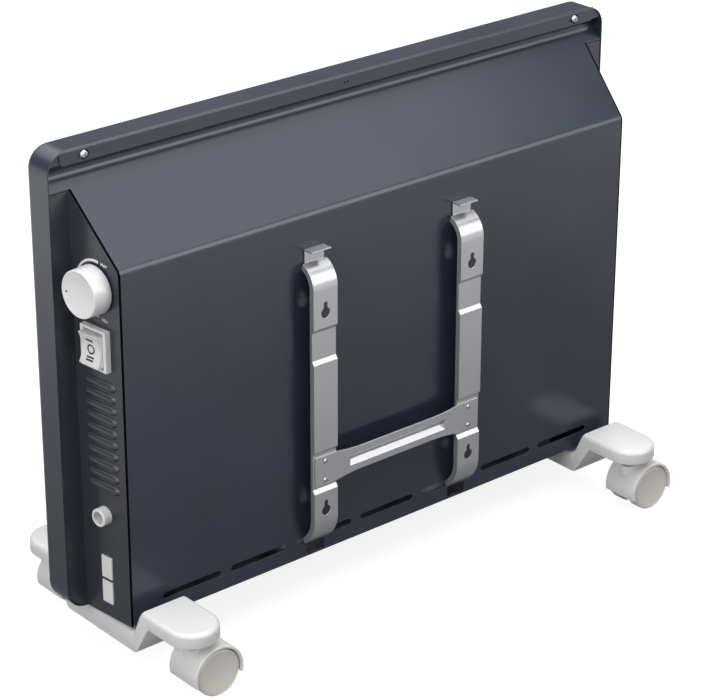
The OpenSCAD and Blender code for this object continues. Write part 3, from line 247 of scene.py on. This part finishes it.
finish = dict(
    casing=powderCoat("casingPaint", (0.029, 0.035, 0.056), 0.2),
    # Control wall paint, a little lighter than the casing: partly painted light
    wall=powderCoat("wallPaintWithPaintedLight", (0.034, 0.037, 0.047), 0.25),
    grille=powderCoat("grillePaint", (0.02, 0.021, 0.026), 0.55),
    white=mouldedPlastic("whitePlastic", (0.81, 0.81, 0.805), 0.26),
    wheel=mouldedPlastic("wheelPlastic", (0.76, 0.72, 0.685), 0.2),
    tyre=mouldedPlastic("tyrePlastic", (0.74, 0.72, 0.70), 0.3),
    ivory=mouldedPlastic("ivoryPlastic", (0.62, 0.58, 0.48), 0.5),
    black=mouldedPlastic("blackPlastic", (0.015, 0.015, 0.017), 0.45),
    mark=mouldedPlastic("markInk", (0.012, 0.012, 0.013), 0.5, grain=0.002, edgeRadius=0.0),
    ceramic=mouldedPlastic("steatite", (0.72, 0.69, 0.6), 0.6, grain=0.02),
    bracket=platedSteel("bracketPlating", (0.385, 0.389, 0.4), 0.24, edgeRadius=0.6, streakHeight=0.0, metal=0.55,
                        uneven=0.08),
    # The sheet inside is far darker than bare galvanised steel: painted shade for the dark inside seen through the
    # slots
    duct=platedSteel("galvanisedSheetPaintedShade", (0.18, 0.185, 0.195), 0.42),
    screw=platedSteel("screwPlating", (0.3, 0.305, 0.32), 0.25, (40.0, 40.0, 40.0), 0.15),
    # Near black for the gap strips: painted shade for the shadow in the gap between an end wall and the casing
    gapShade=mouldedPlastic("jointShade", (0.004, 0.004, 0.005), 0.9, grain=0.002, edgeRadius=0.0, specular=0.0),
    element=platedSteel("elementMetal", (0.6, 0.59, 0.57), 0.45, (3.0, 60.0, 60.0)),
)
finishOfSlot = dict(enclosure_paint="casing", grille_paint="grille", white_plastic="white", wheel_plastic="wheel",
                    ivory_plastic="ivory", black_plastic="black", steatite="ceramic", zinc="screw",
                    zinc_sheet="bracket", galvanised_sheet="duct", element_metal="element")
for part in frame["record"]["subparts"]:
    mesh = frame["nodes"][part["node"]].data
    mesh.materials.clear()
    mesh.materials.append(finish[finishOfSlot[part["material_slot"]]])
# The control wall's paint is a little more neutral and a little lighter than the rest of the casing; the lighter tone
# is painted light for the light the wall catches
frame["nodes"]["control_end_wall"].data.materials[0] = finish["wall"]
print("materials on", len(frame["nodes"]), "nodes")


# Forms

# A quarter of a circle of radius r, as distances in from one side and up to the other, in steps
def quarterRound(r, steps):
    angle = np.linspace(0.0, math.pi / 2, steps + 1)
    return r - r * np.cos(angle), r * np.sin(angle)


# A slope change that starts at zero, softened to a parabola over w on both sides
def softBend(t, w):
    return np.where(t < -w, 0.0, np.where(t > w, t, (t + w) ** 2 / (4 * w)))


# A profile of along and radius, turned about an axis along Y through a centre; closed, or with its ends on the axis
def turnedY(profile, centre, count, closed=True):
    angle = np.linspace(0.0, 2 * math.pi, count, endpoint=False)[:, None]
    along, radius = np.asarray(profile, float).T
    points = np.stack(np.broadcast_arrays(centre[0] + radius * np.cos(angle), centre[1] + along,
                                          centre[2] + radius * np.sin(angle)), -1)
    return points, gridFaces(count, len(profile), True, closed)


# A closed profile of radius and height, turned about an upright axis through a point
def turnedZ(profile, centre, count):
    angle = np.linspace(0.0, 2 * math.pi, count, endpoint=False)[:, None]
    radius, height = np.asarray(profile, float).T
    points = np.stack(np.broadcast_arrays(centre[0] + radius * np.cos(angle), centre[1] + radius * np.sin(angle),
                                          height), -1)
    return points, gridFaces(count, len(profile), True, True)


# A flat outline of first and second coordinate, made solid between two places on the third axis
def prism(outline, low, high, order):
    count = len(outline)
    middle = outline.mean(0)
    rings = [np.column_stack([outline, np.full(count, level)]) for level in (low, high)]
    points = np.concatenate([*rings, [[*middle, low], [*middle, high]]])[:, order]
    caps = np.concatenate([fanFaces(count, 0, 2 * count), fanFaces(count, count, 2 * count + 1)])
    return points, gridFaces(2, count, False, True), caps


# Feet

foot = dict(wall=3.0, edge=4.0, lowEdge=0.8, channelTop=42.0, riserTop=(45.55, 56.15), softTop=(1.0, 2.6),
            riserUnder=(47.75, 65.55), softUnder=(2.2, 1.7), padUnder=53.0, hollow=44.5, bendY=(43.0, 70.0),
            bossR=5.5, bossBore=2.1, bossLift=2.5, bossSink=0.4, screwY=(0.0, 19.0), seatHalf=13.0,
            seatY=(-8.15, 26.35), seatCorner=2.0, seatTop=47.5, seatSink=0.3)


# One foot: its outline goes round the pads' ends, its top and underside rise along Y from channel to pads
def makeFoot(side):
    low, high = (np.array(corner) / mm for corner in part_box("foot_" + side))
    centreX, half = (low[0] + high[0]) / 2, (high[0] - low[0]) / 2
    endY, padTop, channelZ = high[1] - half, high[2], low[2]
    bend = np.linspace(*foot["bendY"], 73)
    straight = np.concatenate([np.linspace(0.0, bend[0] - 1.0, 8), bend, np.linspace(bend[-1] + 3.0, endY, 6)])
    straight = np.sort(np.concatenate([straight, [foot["hollow"]] * 2]))
    straight = np.concatenate([-straight[::-1], straight[1:]])
    turn = np.linspace(0.0, math.pi / 2, 19)[1:]
    outX = np.concatenate([np.cos(turn[::-1]), np.ones(len(straight)), np.cos(turn)])
    outY = np.concatenate([-np.sin(turn[::-1]), np.zeros(len(straight)), np.sin(turn)])
    baseY = np.concatenate([np.full(len(turn), -endY), straight, np.full(len(turn), endY)])
    riseTop = (padTop - foot["channelTop"]) / (foot["riserTop"][1] - foot["riserTop"][0])
    riseUnder = (foot["padUnder"] - channelZ) / (foot["riserUnder"][1] - foot["riserUnder"][0])

    # Height along Y: a base height, a softened slope that starts at one place and ends at the other
    def risen(y, base, rise, places, softness):
        y = np.abs(y)
        return base + rise * softBend(y - places[0], softness[0]) - rise * softBend(y - places[1], softness[1])

    # The top side's height
    def top(y):
        return risen(y, foot["channelTop"], riseTop, foot["riserTop"], foot["softTop"])

    # The underside's height
    def under(y):
        return risen(y, channelZ, riseUnder, foot["riserUnder"], foot["softUnder"])

    # The stations between the two doubled ones are hollow below
    index = np.arange(len(baseY))
    doubled = np.flatnonzero(np.abs(np.abs(baseY) - foot["hollow"]) < 1e-9)
    hollow = (index >= doubled[1]) & (index <= doubled[2])
    inset, rise = quarterRound(foot["edge"], 6)
    lowInset, lowRise = quarterRound(foot["lowEdge"], 2)
    columns = []

    # One line of points round the outline: its distance in from the edge, its places along Y and its heights
    def column(d, height):
        y = baseY + (half - d) * outY
        columns.append((d, y, height(y)))

    column(foot["wall"], lambda y: np.where(hollow, top(y) - foot["wall"], under(y)))
    column(foot["wall"], under)
    for d, up in zip(lowInset[::-1], foot["lowEdge"] - lowRise[::-1]):
        column(d, lambda y, up=up: under(y) + up)
    for d, up in zip(inset, rise):
        column(d, lambda y, up=up: top(y) - foot["edge"] + up)
    right = [np.stack([centreX + (half - d) * outX, y, z], -1) for d, y, z in columns]
    left = [np.stack([centreX - (half - d) * outX, y, z], -1) for d, y, z in columns]
    points = np.stack(right + left[::-1], 1)
    shell = (points, gridFaces(points.shape[0], points.shape[1], False, True))
    bossLow, bossHigh = channelZ + foot["bossLift"], foot["channelTop"] - foot["wall"] + foot["bossSink"]
    bosses = [turnedZ([[foot["bossBore"], bossLow], [foot["bossR"], bossLow], [foot["bossR"], bossHigh],
                       [foot["bossBore"], bossHigh]], (centreX, y), 40)
              for y in foot["screwY"]]
    corner, r = np.linspace(0.0, math.pi / 2, 5), foot["seatCorner"]
    seatX, seatBack, seatFront = foot["seatHalf"] - r, foot["seatY"][1] - r, foot["seatY"][0] + r
    seat = np.concatenate([
        np.stack([x + r * np.cos(corner + start), y + r * np.sin(corner + start)], -1)
        for x, y, start in ((seatX, seatBack, 0.0), (-seatX, seatBack, math.pi / 2), (-seatX, seatFront, math.pi),
                            (seatX, seatFront, 1.5 * math.pi))])
    seat[:, 0] += centreX
    seatForm = prism(seat, foot["channelTop"] - foot["seatSink"], foot["seatTop"], (0, 1, 2))
    makePiece("footShell_" + side, [shell, *bosses, seatForm], "heater", finish["white"],
              replaces=("foot_" + side,))


for side in ("left", "right"):
    makeFoot(side)


# Castors

castor = dict(hoodR=24.2, hoodWall=2.5, hoodEdge=0.9, mouthEdge=0.4, webHalf=5.3, webSink=0.3, cutDrop=6.0,
              trail=13.8, socketR=7.0, socketTop=43.0, socketEdge=0.7, socketSink=1.2, stemR=4.15)
wheel = dict(r=20.5, width=11.2, bore=2.56, hubR=5.5, rimR=16.5, webDrop=4.5, sideEdge=1.2, tyreEdge=1.5,
             discR=18.4, discSeat=3.3, discGap=0.06, dish=2.3, faceDrop=0.3)


# One hood: a shell turned over the axle and cut off flat below, a web in its middle and the stem's socket
def makeHood(corner):
    low, high = (np.array(place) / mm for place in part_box(corner + "_castor_hood"))
    stem = np.array([low[0] + castor["hoodR"] + castor["trail"], (low[1] + high[1]) / 2])
    axle = np.array([stem[0] - castor["trail"], stem[1], wheel["r"]])
    half = (high[1] - low[1]) / 2
    outer, inner, edge = castor["hoodR"], castor["hoodR"] - castor["hoodWall"], castor["hoodEdge"]
    inset, rise = quarterRound(edge, 5)
    smallInset, smallRise = quarterRound(castor["mouthEdge"], 2)
    along = np.concatenate([half - edge + rise, half - smallInset])
    radius = np.concatenate([outer - inset, inner + castor["mouthEdge"] - smallRise])
    along = np.concatenate([along, -along[::-1]])
    radius = np.concatenate([radius, radius[::-1]])
    first = -np.arcsin(castor["cutDrop"] / radius)
    share = np.linspace(0.0, 1.0, 73)[:, None]
    angle = first + share * (math.pi - 2 * first)
    points = np.stack(np.broadcast_arrays(axle[0] + radius * np.cos(angle), axle[1] + along,
                                          axle[2] + radius * np.sin(angle)), -1)
    rows, count = points.shape[:2]
    middles = np.stack([points[0].mean(0), points[-1].mean(0)])
    caps = np.concatenate([fanFaces(count, 0, rows * count), fanFaces(count, (rows - 1) * count, rows * count + 1)])
    shell = (np.concatenate([points.reshape(-1, 3), middles]), gridFaces(rows, count, False, True), caps)

    webR = inner + castor["webSink"]
    webStart = -math.asin(castor["cutDrop"] / webR)
    webAngle = np.linspace(webStart, math.pi - webStart, 65)
    webOutline = np.stack([axle[0] + webR * np.cos(webAngle), axle[2] + webR * np.sin(webAngle)], -1)
    web = prism(webOutline, axle[1] - castor["webHalf"], axle[1] + castor["webHalf"], (0, 2, 1))

    turn = np.linspace(0.0, 2 * math.pi, 72, endpoint=False)[:, None]
    topInset, topRise = quarterRound(castor["socketEdge"], 4)
    socketRadius = np.concatenate([[castor["stemR"]], [castor["socketR"]], castor["socketR"] - topInset,
                                   [castor["stemR"]]])
    reach = castor["trail"] + castor["socketR"] * np.cos(turn)
    foothold = axle[2] + np.sqrt((outer - castor["socketSink"]) ** 2 - reach ** 2)
    height = np.concatenate([np.broadcast_to(foothold, (72, 2)),
                             np.broadcast_to(castor["socketTop"] - castor["socketEdge"] + topRise, (72, 5)),
                             np.full((72, 1), castor["socketTop"])], 1)
    points = np.stack(np.broadcast_arrays(stem[0] + socketRadius * np.cos(turn), stem[1] + socketRadius * np.sin(turn),
                                          height), -1)
    socket = (points, gridFaces(72, points.shape[1], True, True))
    makePiece(corner + "_hoodShell", [shell, web, socket], corner + "_castor", finish["white"],
              replaces=(corner + "_castor_hood",))


# One wheel: a tyre with a rounded edge, hollow on its inner side, and a dished disc in its outer side
def makeWheel(corner, end):
    low, high = (np.array(place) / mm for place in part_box("%s_%s_wheel" % (corner, end)))
    sign = 1.0 if end == "back" else -1.0
    centre = np.array([(low[0] + high[0]) / 2, low[1] if end == "back" else high[1], (low[2] + high[2]) / 2])
    width, radius, discR = wheel["width"], wheel["r"], wheel["discR"]
    web, seat, lip = width - wheel["webDrop"], width - wheel["discSeat"], wheel["sideEdge"]
    inset, rise = quarterRound(wheel["tyreEdge"], 5)
    tyre = [(0.0, wheel["bore"]), (0.0, wheel["hubR"]), (web, wheel["hubR"]), (web, wheel["rimR"]),
            (0.0, wheel["rimR"]), (0.0, radius - lip), (lip, radius)]
    tyre += list(zip(width - wheel["tyreEdge"] + rise, radius - inset))
    tyre += [(width - 0.15, discR + 0.25), (width - 0.6, discR), (seat, discR), (seat, wheel["bore"])]
    tyre = np.array(tyre) * (sign, 1.0)
    makePiece("%s_%s_tyre" % (corner, end), [turnedY(tyre, centre, 96)], "%s_%s_wheel" % (corner, end),
              finish["tyre"], replaces=("%s_%s_wheel" % (corner, end),))
    share = np.linspace(0.0, 1.0, 15)
    face = width - wheel["faceDrop"] - wheel["dish"] * (1 - share ** 2.2)
    edge, back = discR - wheel["discGap"], seat + 0.1
    disc = list(zip(face, share * (discR - 0.5)))
    disc += [(width - 0.4, discR - 0.2), (width - 0.7, edge), (back, edge), (back, 0.0)]
    disc = np.array(disc) * (sign, 1.0)
    makePiece("%s_%s_disc" % (corner, end), [turnedY(disc, centre, 96, False)], "%s_%s_wheel" % (corner, end),
              finish["wheel"])


for corner in ("rear_left", "rear_right", "front_left", "front_right"):
    makeHood(corner)
    for end in ("back", "front"):
        makeWheel(corner, end)
print("feet and castors made")


# Knob, scale and marks


# A profile of distance from the wall and radius, turned about an axis out of the wall; closed, or ending on the axis
def turnedOut(profile, along, up, count, closed=True):
    angle = np.linspace(0.0, 2 * math.pi, count, endpoint=False)[:, None]
    out, radius = np.asarray(profile, float).T
    points = onWall(out + 0 * angle, along + radius * np.cos(angle), up + radius * np.sin(angle))
    return points, gridFaces(count, len(profile), True, closed)


knob = dict(up=336.0, gap=1.6, out=18.3, r=20.0, wall=2.2, rimInset=1.35, rimRound=0.9, faceDrop=0.45, dish=2.4,
            under=13.6, hub=6.0, hubGap=2.2, bore=3.02, boreEnd=13.9, dotAlong=-14.9, dotUp=-1.6, dotR=0.85,
            dotProud=0.3)


# The knob: a dished face with a thin rim, a side that widens a little to its foot, a hollow and a bored hub. The face
# is lowest in its middle and rises with the square of the radius. A small round mark stands on it near the rim
def makeKnob():
    r, out, gap, under = knob["r"], knob["out"], knob["gap"], knob["under"]
    faceR, faceOut, hubFoot = r - knob["wall"], out - knob["faceDrop"], gap + knob["hubGap"]
    share = np.linspace(0.0, 1.0, 13)
    inset, rise = quarterRound(knob["rimRound"], 5)
    profile = list(zip(faceOut - knob["dish"] * (1 - share ** 2.0), share * faceR))
    profile += [(out - 0.15, r - 1.85), (out, r - 1.6)]
    profile += list(zip(out - inset, r - knob["rimInset"] + rise))
    profile += [(12.0, r - 0.3), (6.0, r - 0.1), (gap + 0.4, r), (gap, r - 0.3), (gap, faceR), (under, faceR - 0.5),
                (under, knob["hub"]), (hubFoot, knob["hub"]), (hubFoot, knob["bore"]),
                (knob["boreEnd"], knob["bore"]), (knob["boreEnd"], 0.0)]
    makePiece("knobShell", [turnedOut(profile, controlY, knob["up"], 120, False)], "knob",
              finish["white"], 40.0, ("thermostat_knob",))
    along, dotR, proud = knob["dotAlong"], knob["dotR"], knob["dotProud"]
    level = faceOut - knob["dish"] * (1 - (abs(along) / faceR) ** 2.0)
    dot = [(level - proud, 0.0), (level - proud, dotR), (level + proud, dotR), (level + proud + 0.1, dotR - 0.15),
           (level + proud + 0.1, 0.0)]
    makePiece("knobMark", [turnedOut(dot, controlY + along, knob["up"] + knob["dotUp"], 32, False)], "knob",
              finish["mark"])


dial = dict(proud=0.08, sunk=0.01, inner=(21.4, 22.9), outer=23.8, turn=(81.0, 276.0), letterSize=4.1,
            letterStretch=1.05, letterWeight=0.1, words=(("Max", 5.9, 20.3), ("Min", 5.4, -26.0)))


# A plate between two radii and two angles on the wall, whose inner radius moves evenly to a second value
def scalePlate(inner, outer, start, end, count):
    turn = np.radians(np.linspace(start, end, count))[:, None]
    near = np.linspace(*inner, count)[:, None]
    out = np.array([dial["sunk"], dial["sunk"], dial["proud"], dial["proud"]])
    radius = np.concatenate([near, np.full((count, 2), outer), near], 1)
    points = onWall(out + 0 * turn, controlY + radius * np.cos(turn), knob["up"] + radius * np.sin(turn))
    ends = [[3, 2, 1, 0], [4 * count - 4, 4 * count - 3, 4 * count - 2, 4 * count - 1]]
    return points, np.concatenate([gridFaces(count, 4, False, True), ends])


# Words as a thin form on the wall: Blender's own letters made mesh, then laid along and up from a first place
def letters(words, along, up):
    curve = bpy.data.curves.new("letters", "FONT")
    curve.body = words
    curve.size = dial["letterSize"]
    curve.offset = dial["letterWeight"]
    curve.resolution_u = 4
    curve.extrude = (dial["proud"] - dial["sunk"]) / 2
    holder = bpy.data.objects.new("letters", curve)
    mesh = bpy.data.meshes.new_from_object(holder)
    bpy.data.objects.remove(holder)
    work = bmesh.new()
    work.from_mesh(mesh)
    bmesh.ops.triangulate(work, faces=work.faces)
    work.to_mesh(mesh)
    work.free()
    place = np.empty(len(mesh.vertices) * 3)
    mesh.vertices.foreach_get("co", place)
    corner = np.empty(len(mesh.loops), int)
    mesh.loops.foreach_get("vertex_index", corner)
    bpy.data.meshes.remove(mesh)
    x, y, z = place.reshape(-1, 3).T
    points = onWall(dial["sunk"] + z + curve.extrude, along + x * dial["letterStretch"], up + y)
    return points, np.zeros((0, 4), int), corner.reshape(-1, 3)


# The scale round the knob and its two words, as one piece on the wall
def makeDial():
    arc = scalePlate(dial["inner"], dial["outer"], *dial["turn"], 90)
    words = [letters(word, controlY + along, knob["up"] + up) for word, along, up in dial["words"]]
    makePiece("dialMarks", [arc, *words], "heater", finish["white"])


switch = dict(along=-0.75, up=286.5, half=12.8, valley=7.1, rise=3.1, proud=0.05, line=1.5, lineHalf=4.2,
              lines=((-0.4, 7.9, 1.2), (-0.3, -6.55, 1.0), (-0.6, -8.85, 1.0)), ringR=3.5, ringStretch=1.03, ringUp=0.1)


# A plate that lies on the rocker's hollow face, from a grid of places across and up. The face is an arc whose radius
# is half its height squared plus its rise squared, over twice the rise
def rockerPlate(across, up, close):
    bow = (switch["half"] ** 2 + switch["rise"] ** 2) / (2 * switch["rise"])
    out = switch["valley"] + bow - np.sqrt(bow ** 2 - up ** 2)
    points = np.stack([onWall(out + level, controlY + switch["along"] + across, switch["up"] + up)
                       for level in (-switch["proud"], switch["proud"])])
    rows, columns = across.shape
    under = gridFaces(rows, columns, close, False)
    count = rows * columns
    top = under[:, ::-1] + count
    first = np.arange(rows if close else rows - 1)
    after = (first + 1) % rows
    sides = []
    for c in (0, columns - 1):
        sides.append(np.stack([first * columns + c, after * columns + c, after * columns + c + count,
                               first * columns + c + count], -1))
    if not close:
        c = np.arange(columns - 1)
        for row in (0, (rows - 1) * columns):
            sides.append(np.stack([row + c, row + c + 1, row + c + 1 + count, row + c + count], -1))
    return points.reshape(-1, 3), np.concatenate([under, top, *sides])


# The switch's marks: one line, a ring and two lines, on the rocker
def makeSwitchMarks():
    half = switch["line"] / 2
    forms = []
    for middle, level, thick in switch["lines"]:
        along = middle + np.linspace(-switch["lineHalf"], switch["lineHalf"], 9)
        across, up = np.meshgrid(along, level + np.linspace(-half, half, 3) * thick, indexing="ij")
        forms.append(rockerPlate(across, up, False))
    turn = np.linspace(0.0, 2 * math.pi, 64, endpoint=False)[:, None]
    radius = switch["ringR"] + np.linspace(-half, half, 3)
    ring = radius * np.cos(turn) * switch["ringStretch"], switch["ringUp"] + radius * np.sin(turn)
    forms.append(rockerPlate(*ring, True))
    makePiece("switchMarks", forms, "rocker", finish["mark"])


gapShade = dict(section=((-0.05, -0.05), (-0.05, 0.9), (0.7, 0.7), (1.4, -0.05)), kneeZ=355.8, kneeR=9.0, inset=0.3,
             lift=0.2)


# A near-black strip in the narrow gap between an end wall and the casing, painted shade for the shadow in that gap:
# a small four-sided section that follows the wall's rear edge, straight up, round the casing's bend in an eighth of a
# circle, and along the slope
def makeGapShade(side, sign):
    turn = np.linspace(0.0, math.pi / 4, 9)
    kneeZ, kneeR = gapShade["kneeZ"], gapShade["kneeR"]
    straight = kneeR * math.tan(math.pi / 8)
    lastY = body["wallY"] + gapShade["inset"]
    y = np.concatenate([[body["backY"]], body["backY"] - kneeR + kneeR * np.cos(turn), [lastY]])
    z = np.concatenate([[body["baseZ"] + gapShade["lift"]], kneeZ - straight + kneeR * np.sin(turn),
                        [kneeZ + body["backY"] - lastY]])
    normal = np.concatenate([[0.0], turn, [math.pi / 4]])
    rings = []
    for across, inwards in gapShade["section"]:
        ringY, ringZ = y - inwards * np.cos(normal), z - inwards * np.sin(normal)
        ringX = body["wallX"] - (ringY - body["wallY"]) * math.tan(wallLean) - across
        rings.append(np.stack([sign * ringX, ringY, ringZ], -1))
    points = np.stack(rings, 1)
    count = 4 * (len(y) - 1)
    ends = [[0, 1, 2, 3], [count + 3, count + 2, count + 1, count]]
    faces = np.concatenate([gridFaces(len(y), 4, False, True), ends])
    makePiece("gapShade_" + side, [(points, faces)], "heater", finish["gapShade"])


makeGapShade("left", 1.0)
makeGapShade("right", -1.0)
makeKnob()
makeDial()
makeSwitchMarks()
print("knob, scale and marks made")


# Studio

# Two values, each a socket or a number, joined by a math operation
def addMath(tree, operation, first, second):
    node = tree.nodes.new("ShaderNodeMath")
    node.operation = operation
    for socket, value in zip(node.inputs, (first, second)):
        if isinstance(value, float):
            socket.default_value = value
        else:
            tree.links.new(value, socket)
    return node.outputs["Value"]


# The product of several values, each a socket or a number
def addProduct(tree, *values):
    value = values[0]
    for other in values[1:]:
        value = addMath(tree, "MULTIPLY", value, other)
    return value


# One for rays that the camera sees directly or through something clear, else zero
def addSeen(tree, path):
    return addMath(tree, "MAXIMUM", path.outputs["Is Camera Ray"], path.outputs["Is Transmission Ray"])


sky = dict(light=0.12, shine=(0.35, 1.15), shineY=(-0.8, 0.8), rearShine=4.5, rearLow=(0.0, 0.16),
           rearHigh=(0.48, 0.64), rearY=(0.42, 0.6), frontShine=2.6, frontLow=(0.42, 0.62), frontY=(-0.3, 0.0),
           edgeShine=0.5, edgeX=(-0.7, -0.5))


# World: white to the camera and softer as light. In reflections it is brighter from the rear than from the front, with
# a bright band low at the rear and a bright field high at the front, and dimmer at the far end of the heater
def makeWorld():
    world = bpy.data.worlds.new("studioWorld")
    scene.world = world
    world.use_nodes = True
    tree = world.node_tree
    background = tree.nodes["Background"]
    background.inputs["Color"].default_value = (1.0, 1.0, 1.0, 1.0)
    coords = tree.nodes.new("ShaderNodeTexCoord")
    direction = tree.nodes.new("ShaderNodeSeparateXYZ")
    tree.links.new(coords.outputs["Generated"], direction.inputs["Vector"])
    across, up = direction.outputs["Y"], direction.outputs["Z"]
    rear = addProduct(tree, addRange(tree, up, *sky["rearLow"], 0.0, 1.0),
                      addRange(tree, up, *sky["rearHigh"], 1.0, 0.0),
                      addRange(tree, across, *sky["rearY"], 0.0, 1.0), sky["rearShine"])
    front = addProduct(tree, addRange(tree, up, *sky["frontLow"], 0.0, 1.0),
                       addRange(tree, across, *sky["frontY"], 1.0, 0.0), sky["frontShine"])
    shine = addMath(tree, "ADD", addRange(tree, across, *sky["shineY"], *sky["shine"]), rear)
    shine = addMath(tree, "ADD", shine, front)
    edge = addRange(tree, direction.outputs["X"], *sky["edgeX"], sky["edgeShine"], 1.0)
    shine = addMath(tree, "MULTIPLY", shine, edge)
    path = tree.nodes.new("ShaderNodeLightPath")
    strength = tree.nodes.new("ShaderNodeMapRange")
    strength.inputs["To Min"].default_value = sky["light"]
    tree.links.new(path.outputs["Is Glossy Ray"], strength.inputs["Value"])
    tree.links.new(shine, strength.inputs["To Max"])
    white = tree.nodes.new("ShaderNodeMapRange")
    white.inputs["To Max"].default_value = 1.0
    tree.links.new(addSeen(tree, path), white.inputs["Value"])
    tree.links.new(strength.outputs["Result"], white.inputs["To Min"])
    tree.links.new(white.outputs["Result"], background.inputs["Strength"])


paper = dict(half=60.0, color=(0.38, 0.38, 0.38), rough=0.9, specular=0.1, glow=0.85, shine=2.3, far=0.14,
             sideX=0.2, reach=0.8)


# Floor: a large plane that lights up for the camera, so it is white but keeps the shadow. It lights up more with the
# square of its distance from the heater's middle, a little for the camera and strongly in reflections. The distance
# is the larger one of its Y and of its X less the heater's own reach, up to a longest value
def makeFloor():
    mesh = bpy.data.meshes.new("floor")
    corners = np.array([[-1, -1, 0], [1, -1, 0], [1, 1, 0], [-1, 1, 0]], float) * paper["half"]
    mesh.from_pydata([tuple(c) for c in corners], [], [(0, 1, 2, 3)])
    floor = bpy.data.objects.new("floor", mesh)
    scene.collection.objects.link(floor)
    material, tree, shader = newMaterial("floorPaper", paper["color"], paper["rough"], specular=paper["specular"])
    shader.inputs["Emission Color"].default_value = (1.0, 1.0, 1.0, 1.0)
    coords = tree.nodes.new("ShaderNodeTexCoord")
    place = tree.nodes.new("ShaderNodeSeparateXYZ")
    tree.links.new(coords.outputs["Object"], place.inputs["Vector"])
    sideways = addMath(tree, "SUBTRACT", addMath(tree, "ABSOLUTE", place.outputs["X"], 0.0), paper["sideX"])
    reach = addMath(tree, "MAXIMUM", addMath(tree, "ABSOLUTE", place.outputs["Y"], 0.0), sideways)
    reach = addMath(tree, "MINIMUM", reach, paper["reach"])
    square = addMath(tree, "MULTIPLY", reach, reach)
    path = tree.nodes.new("ShaderNodeLightPath")
    glossy = addProduct(tree, path.outputs["Is Glossy Ray"], square, paper["shine"])
    far = addMath(tree, "ADD", addMath(tree, "MULTIPLY", square, paper["far"]), 1.0)
    seen = addMath(tree, "MULTIPLY", addSeen(tree, path), far)
    glow = addMath(tree, "MULTIPLY", addMath(tree, "ADD", seen, glossy), paper["glow"])
    tree.links.new(glow, shader.inputs["Emission Strength"])
    mesh.materials.append(material)


lamps = dict(
    topBox=dict(direction=(-0.09, 0.22, 1.0), distance=2.2, power=50.0, size=(2.8, 2.4)),
    zenithBox=dict(direction=(0.1, -0.1, 1.0), distance=2.2, power=14.0, size=(1.4, 1.4)),
    rearBox=dict(direction=(-0.59, 0.72, 0.36), distance=2.5, power=6.0, size=(1.0, 1.4)),
    sideBox=dict(direction=(1.0, 0.25, 0.5), distance=2.2, power=20.0, size=(1.3, 1.3)),
)
view = dict(middle=(0.0, 0.0, 0.22), sensor=36.0, lens=137.66, shift=(-0.0006, -0.0011), far=200.0,
            place=(1.341054, 1.58468, 1.153287), turn=(65.272, -0.0518, 139.8188))


# A lamp placed on a direction from the object's middle and turned towards it
def addLamp(name, direction, distance, power, size):
    lamp = bpy.data.lights.new(name, "AREA")
    lamp.energy = power
    lamp.shape = "RECTANGLE"
    lamp.size, lamp.size_y = size
    holder = bpy.data.objects.new(name, lamp)
    scene.collection.objects.link(holder)
    aim = Vector(direction).normalized()
    holder.location = Vector(view["middle"]) + aim * distance
    holder.rotation_euler = aim.to_track_quat("Z", "Y").to_euler()


# The camera, at its place in metres, turned by three angles in degrees
def makeCamera():
    camera = bpy.data.cameras.new("camera")
    camera.sensor_width = view["sensor"]
    camera.lens = view["lens"]
    camera.shift_x, camera.shift_y = view["shift"]
    camera.clip_end = view["far"]
    holder = bpy.data.objects.new("camera", camera)
    scene.collection.objects.link(holder)
    holder.location = view["place"]
    holder.rotation_euler = tuple(math.radians(a) for a in view["turn"])
    scene.camera = holder


makeWorld()
makeFloor()
for name, lamp in lamps.items():
    addLamp(name, **lamp)
makeCamera()
scene.view_settings.view_transform = "Standard"
print("studio ready")
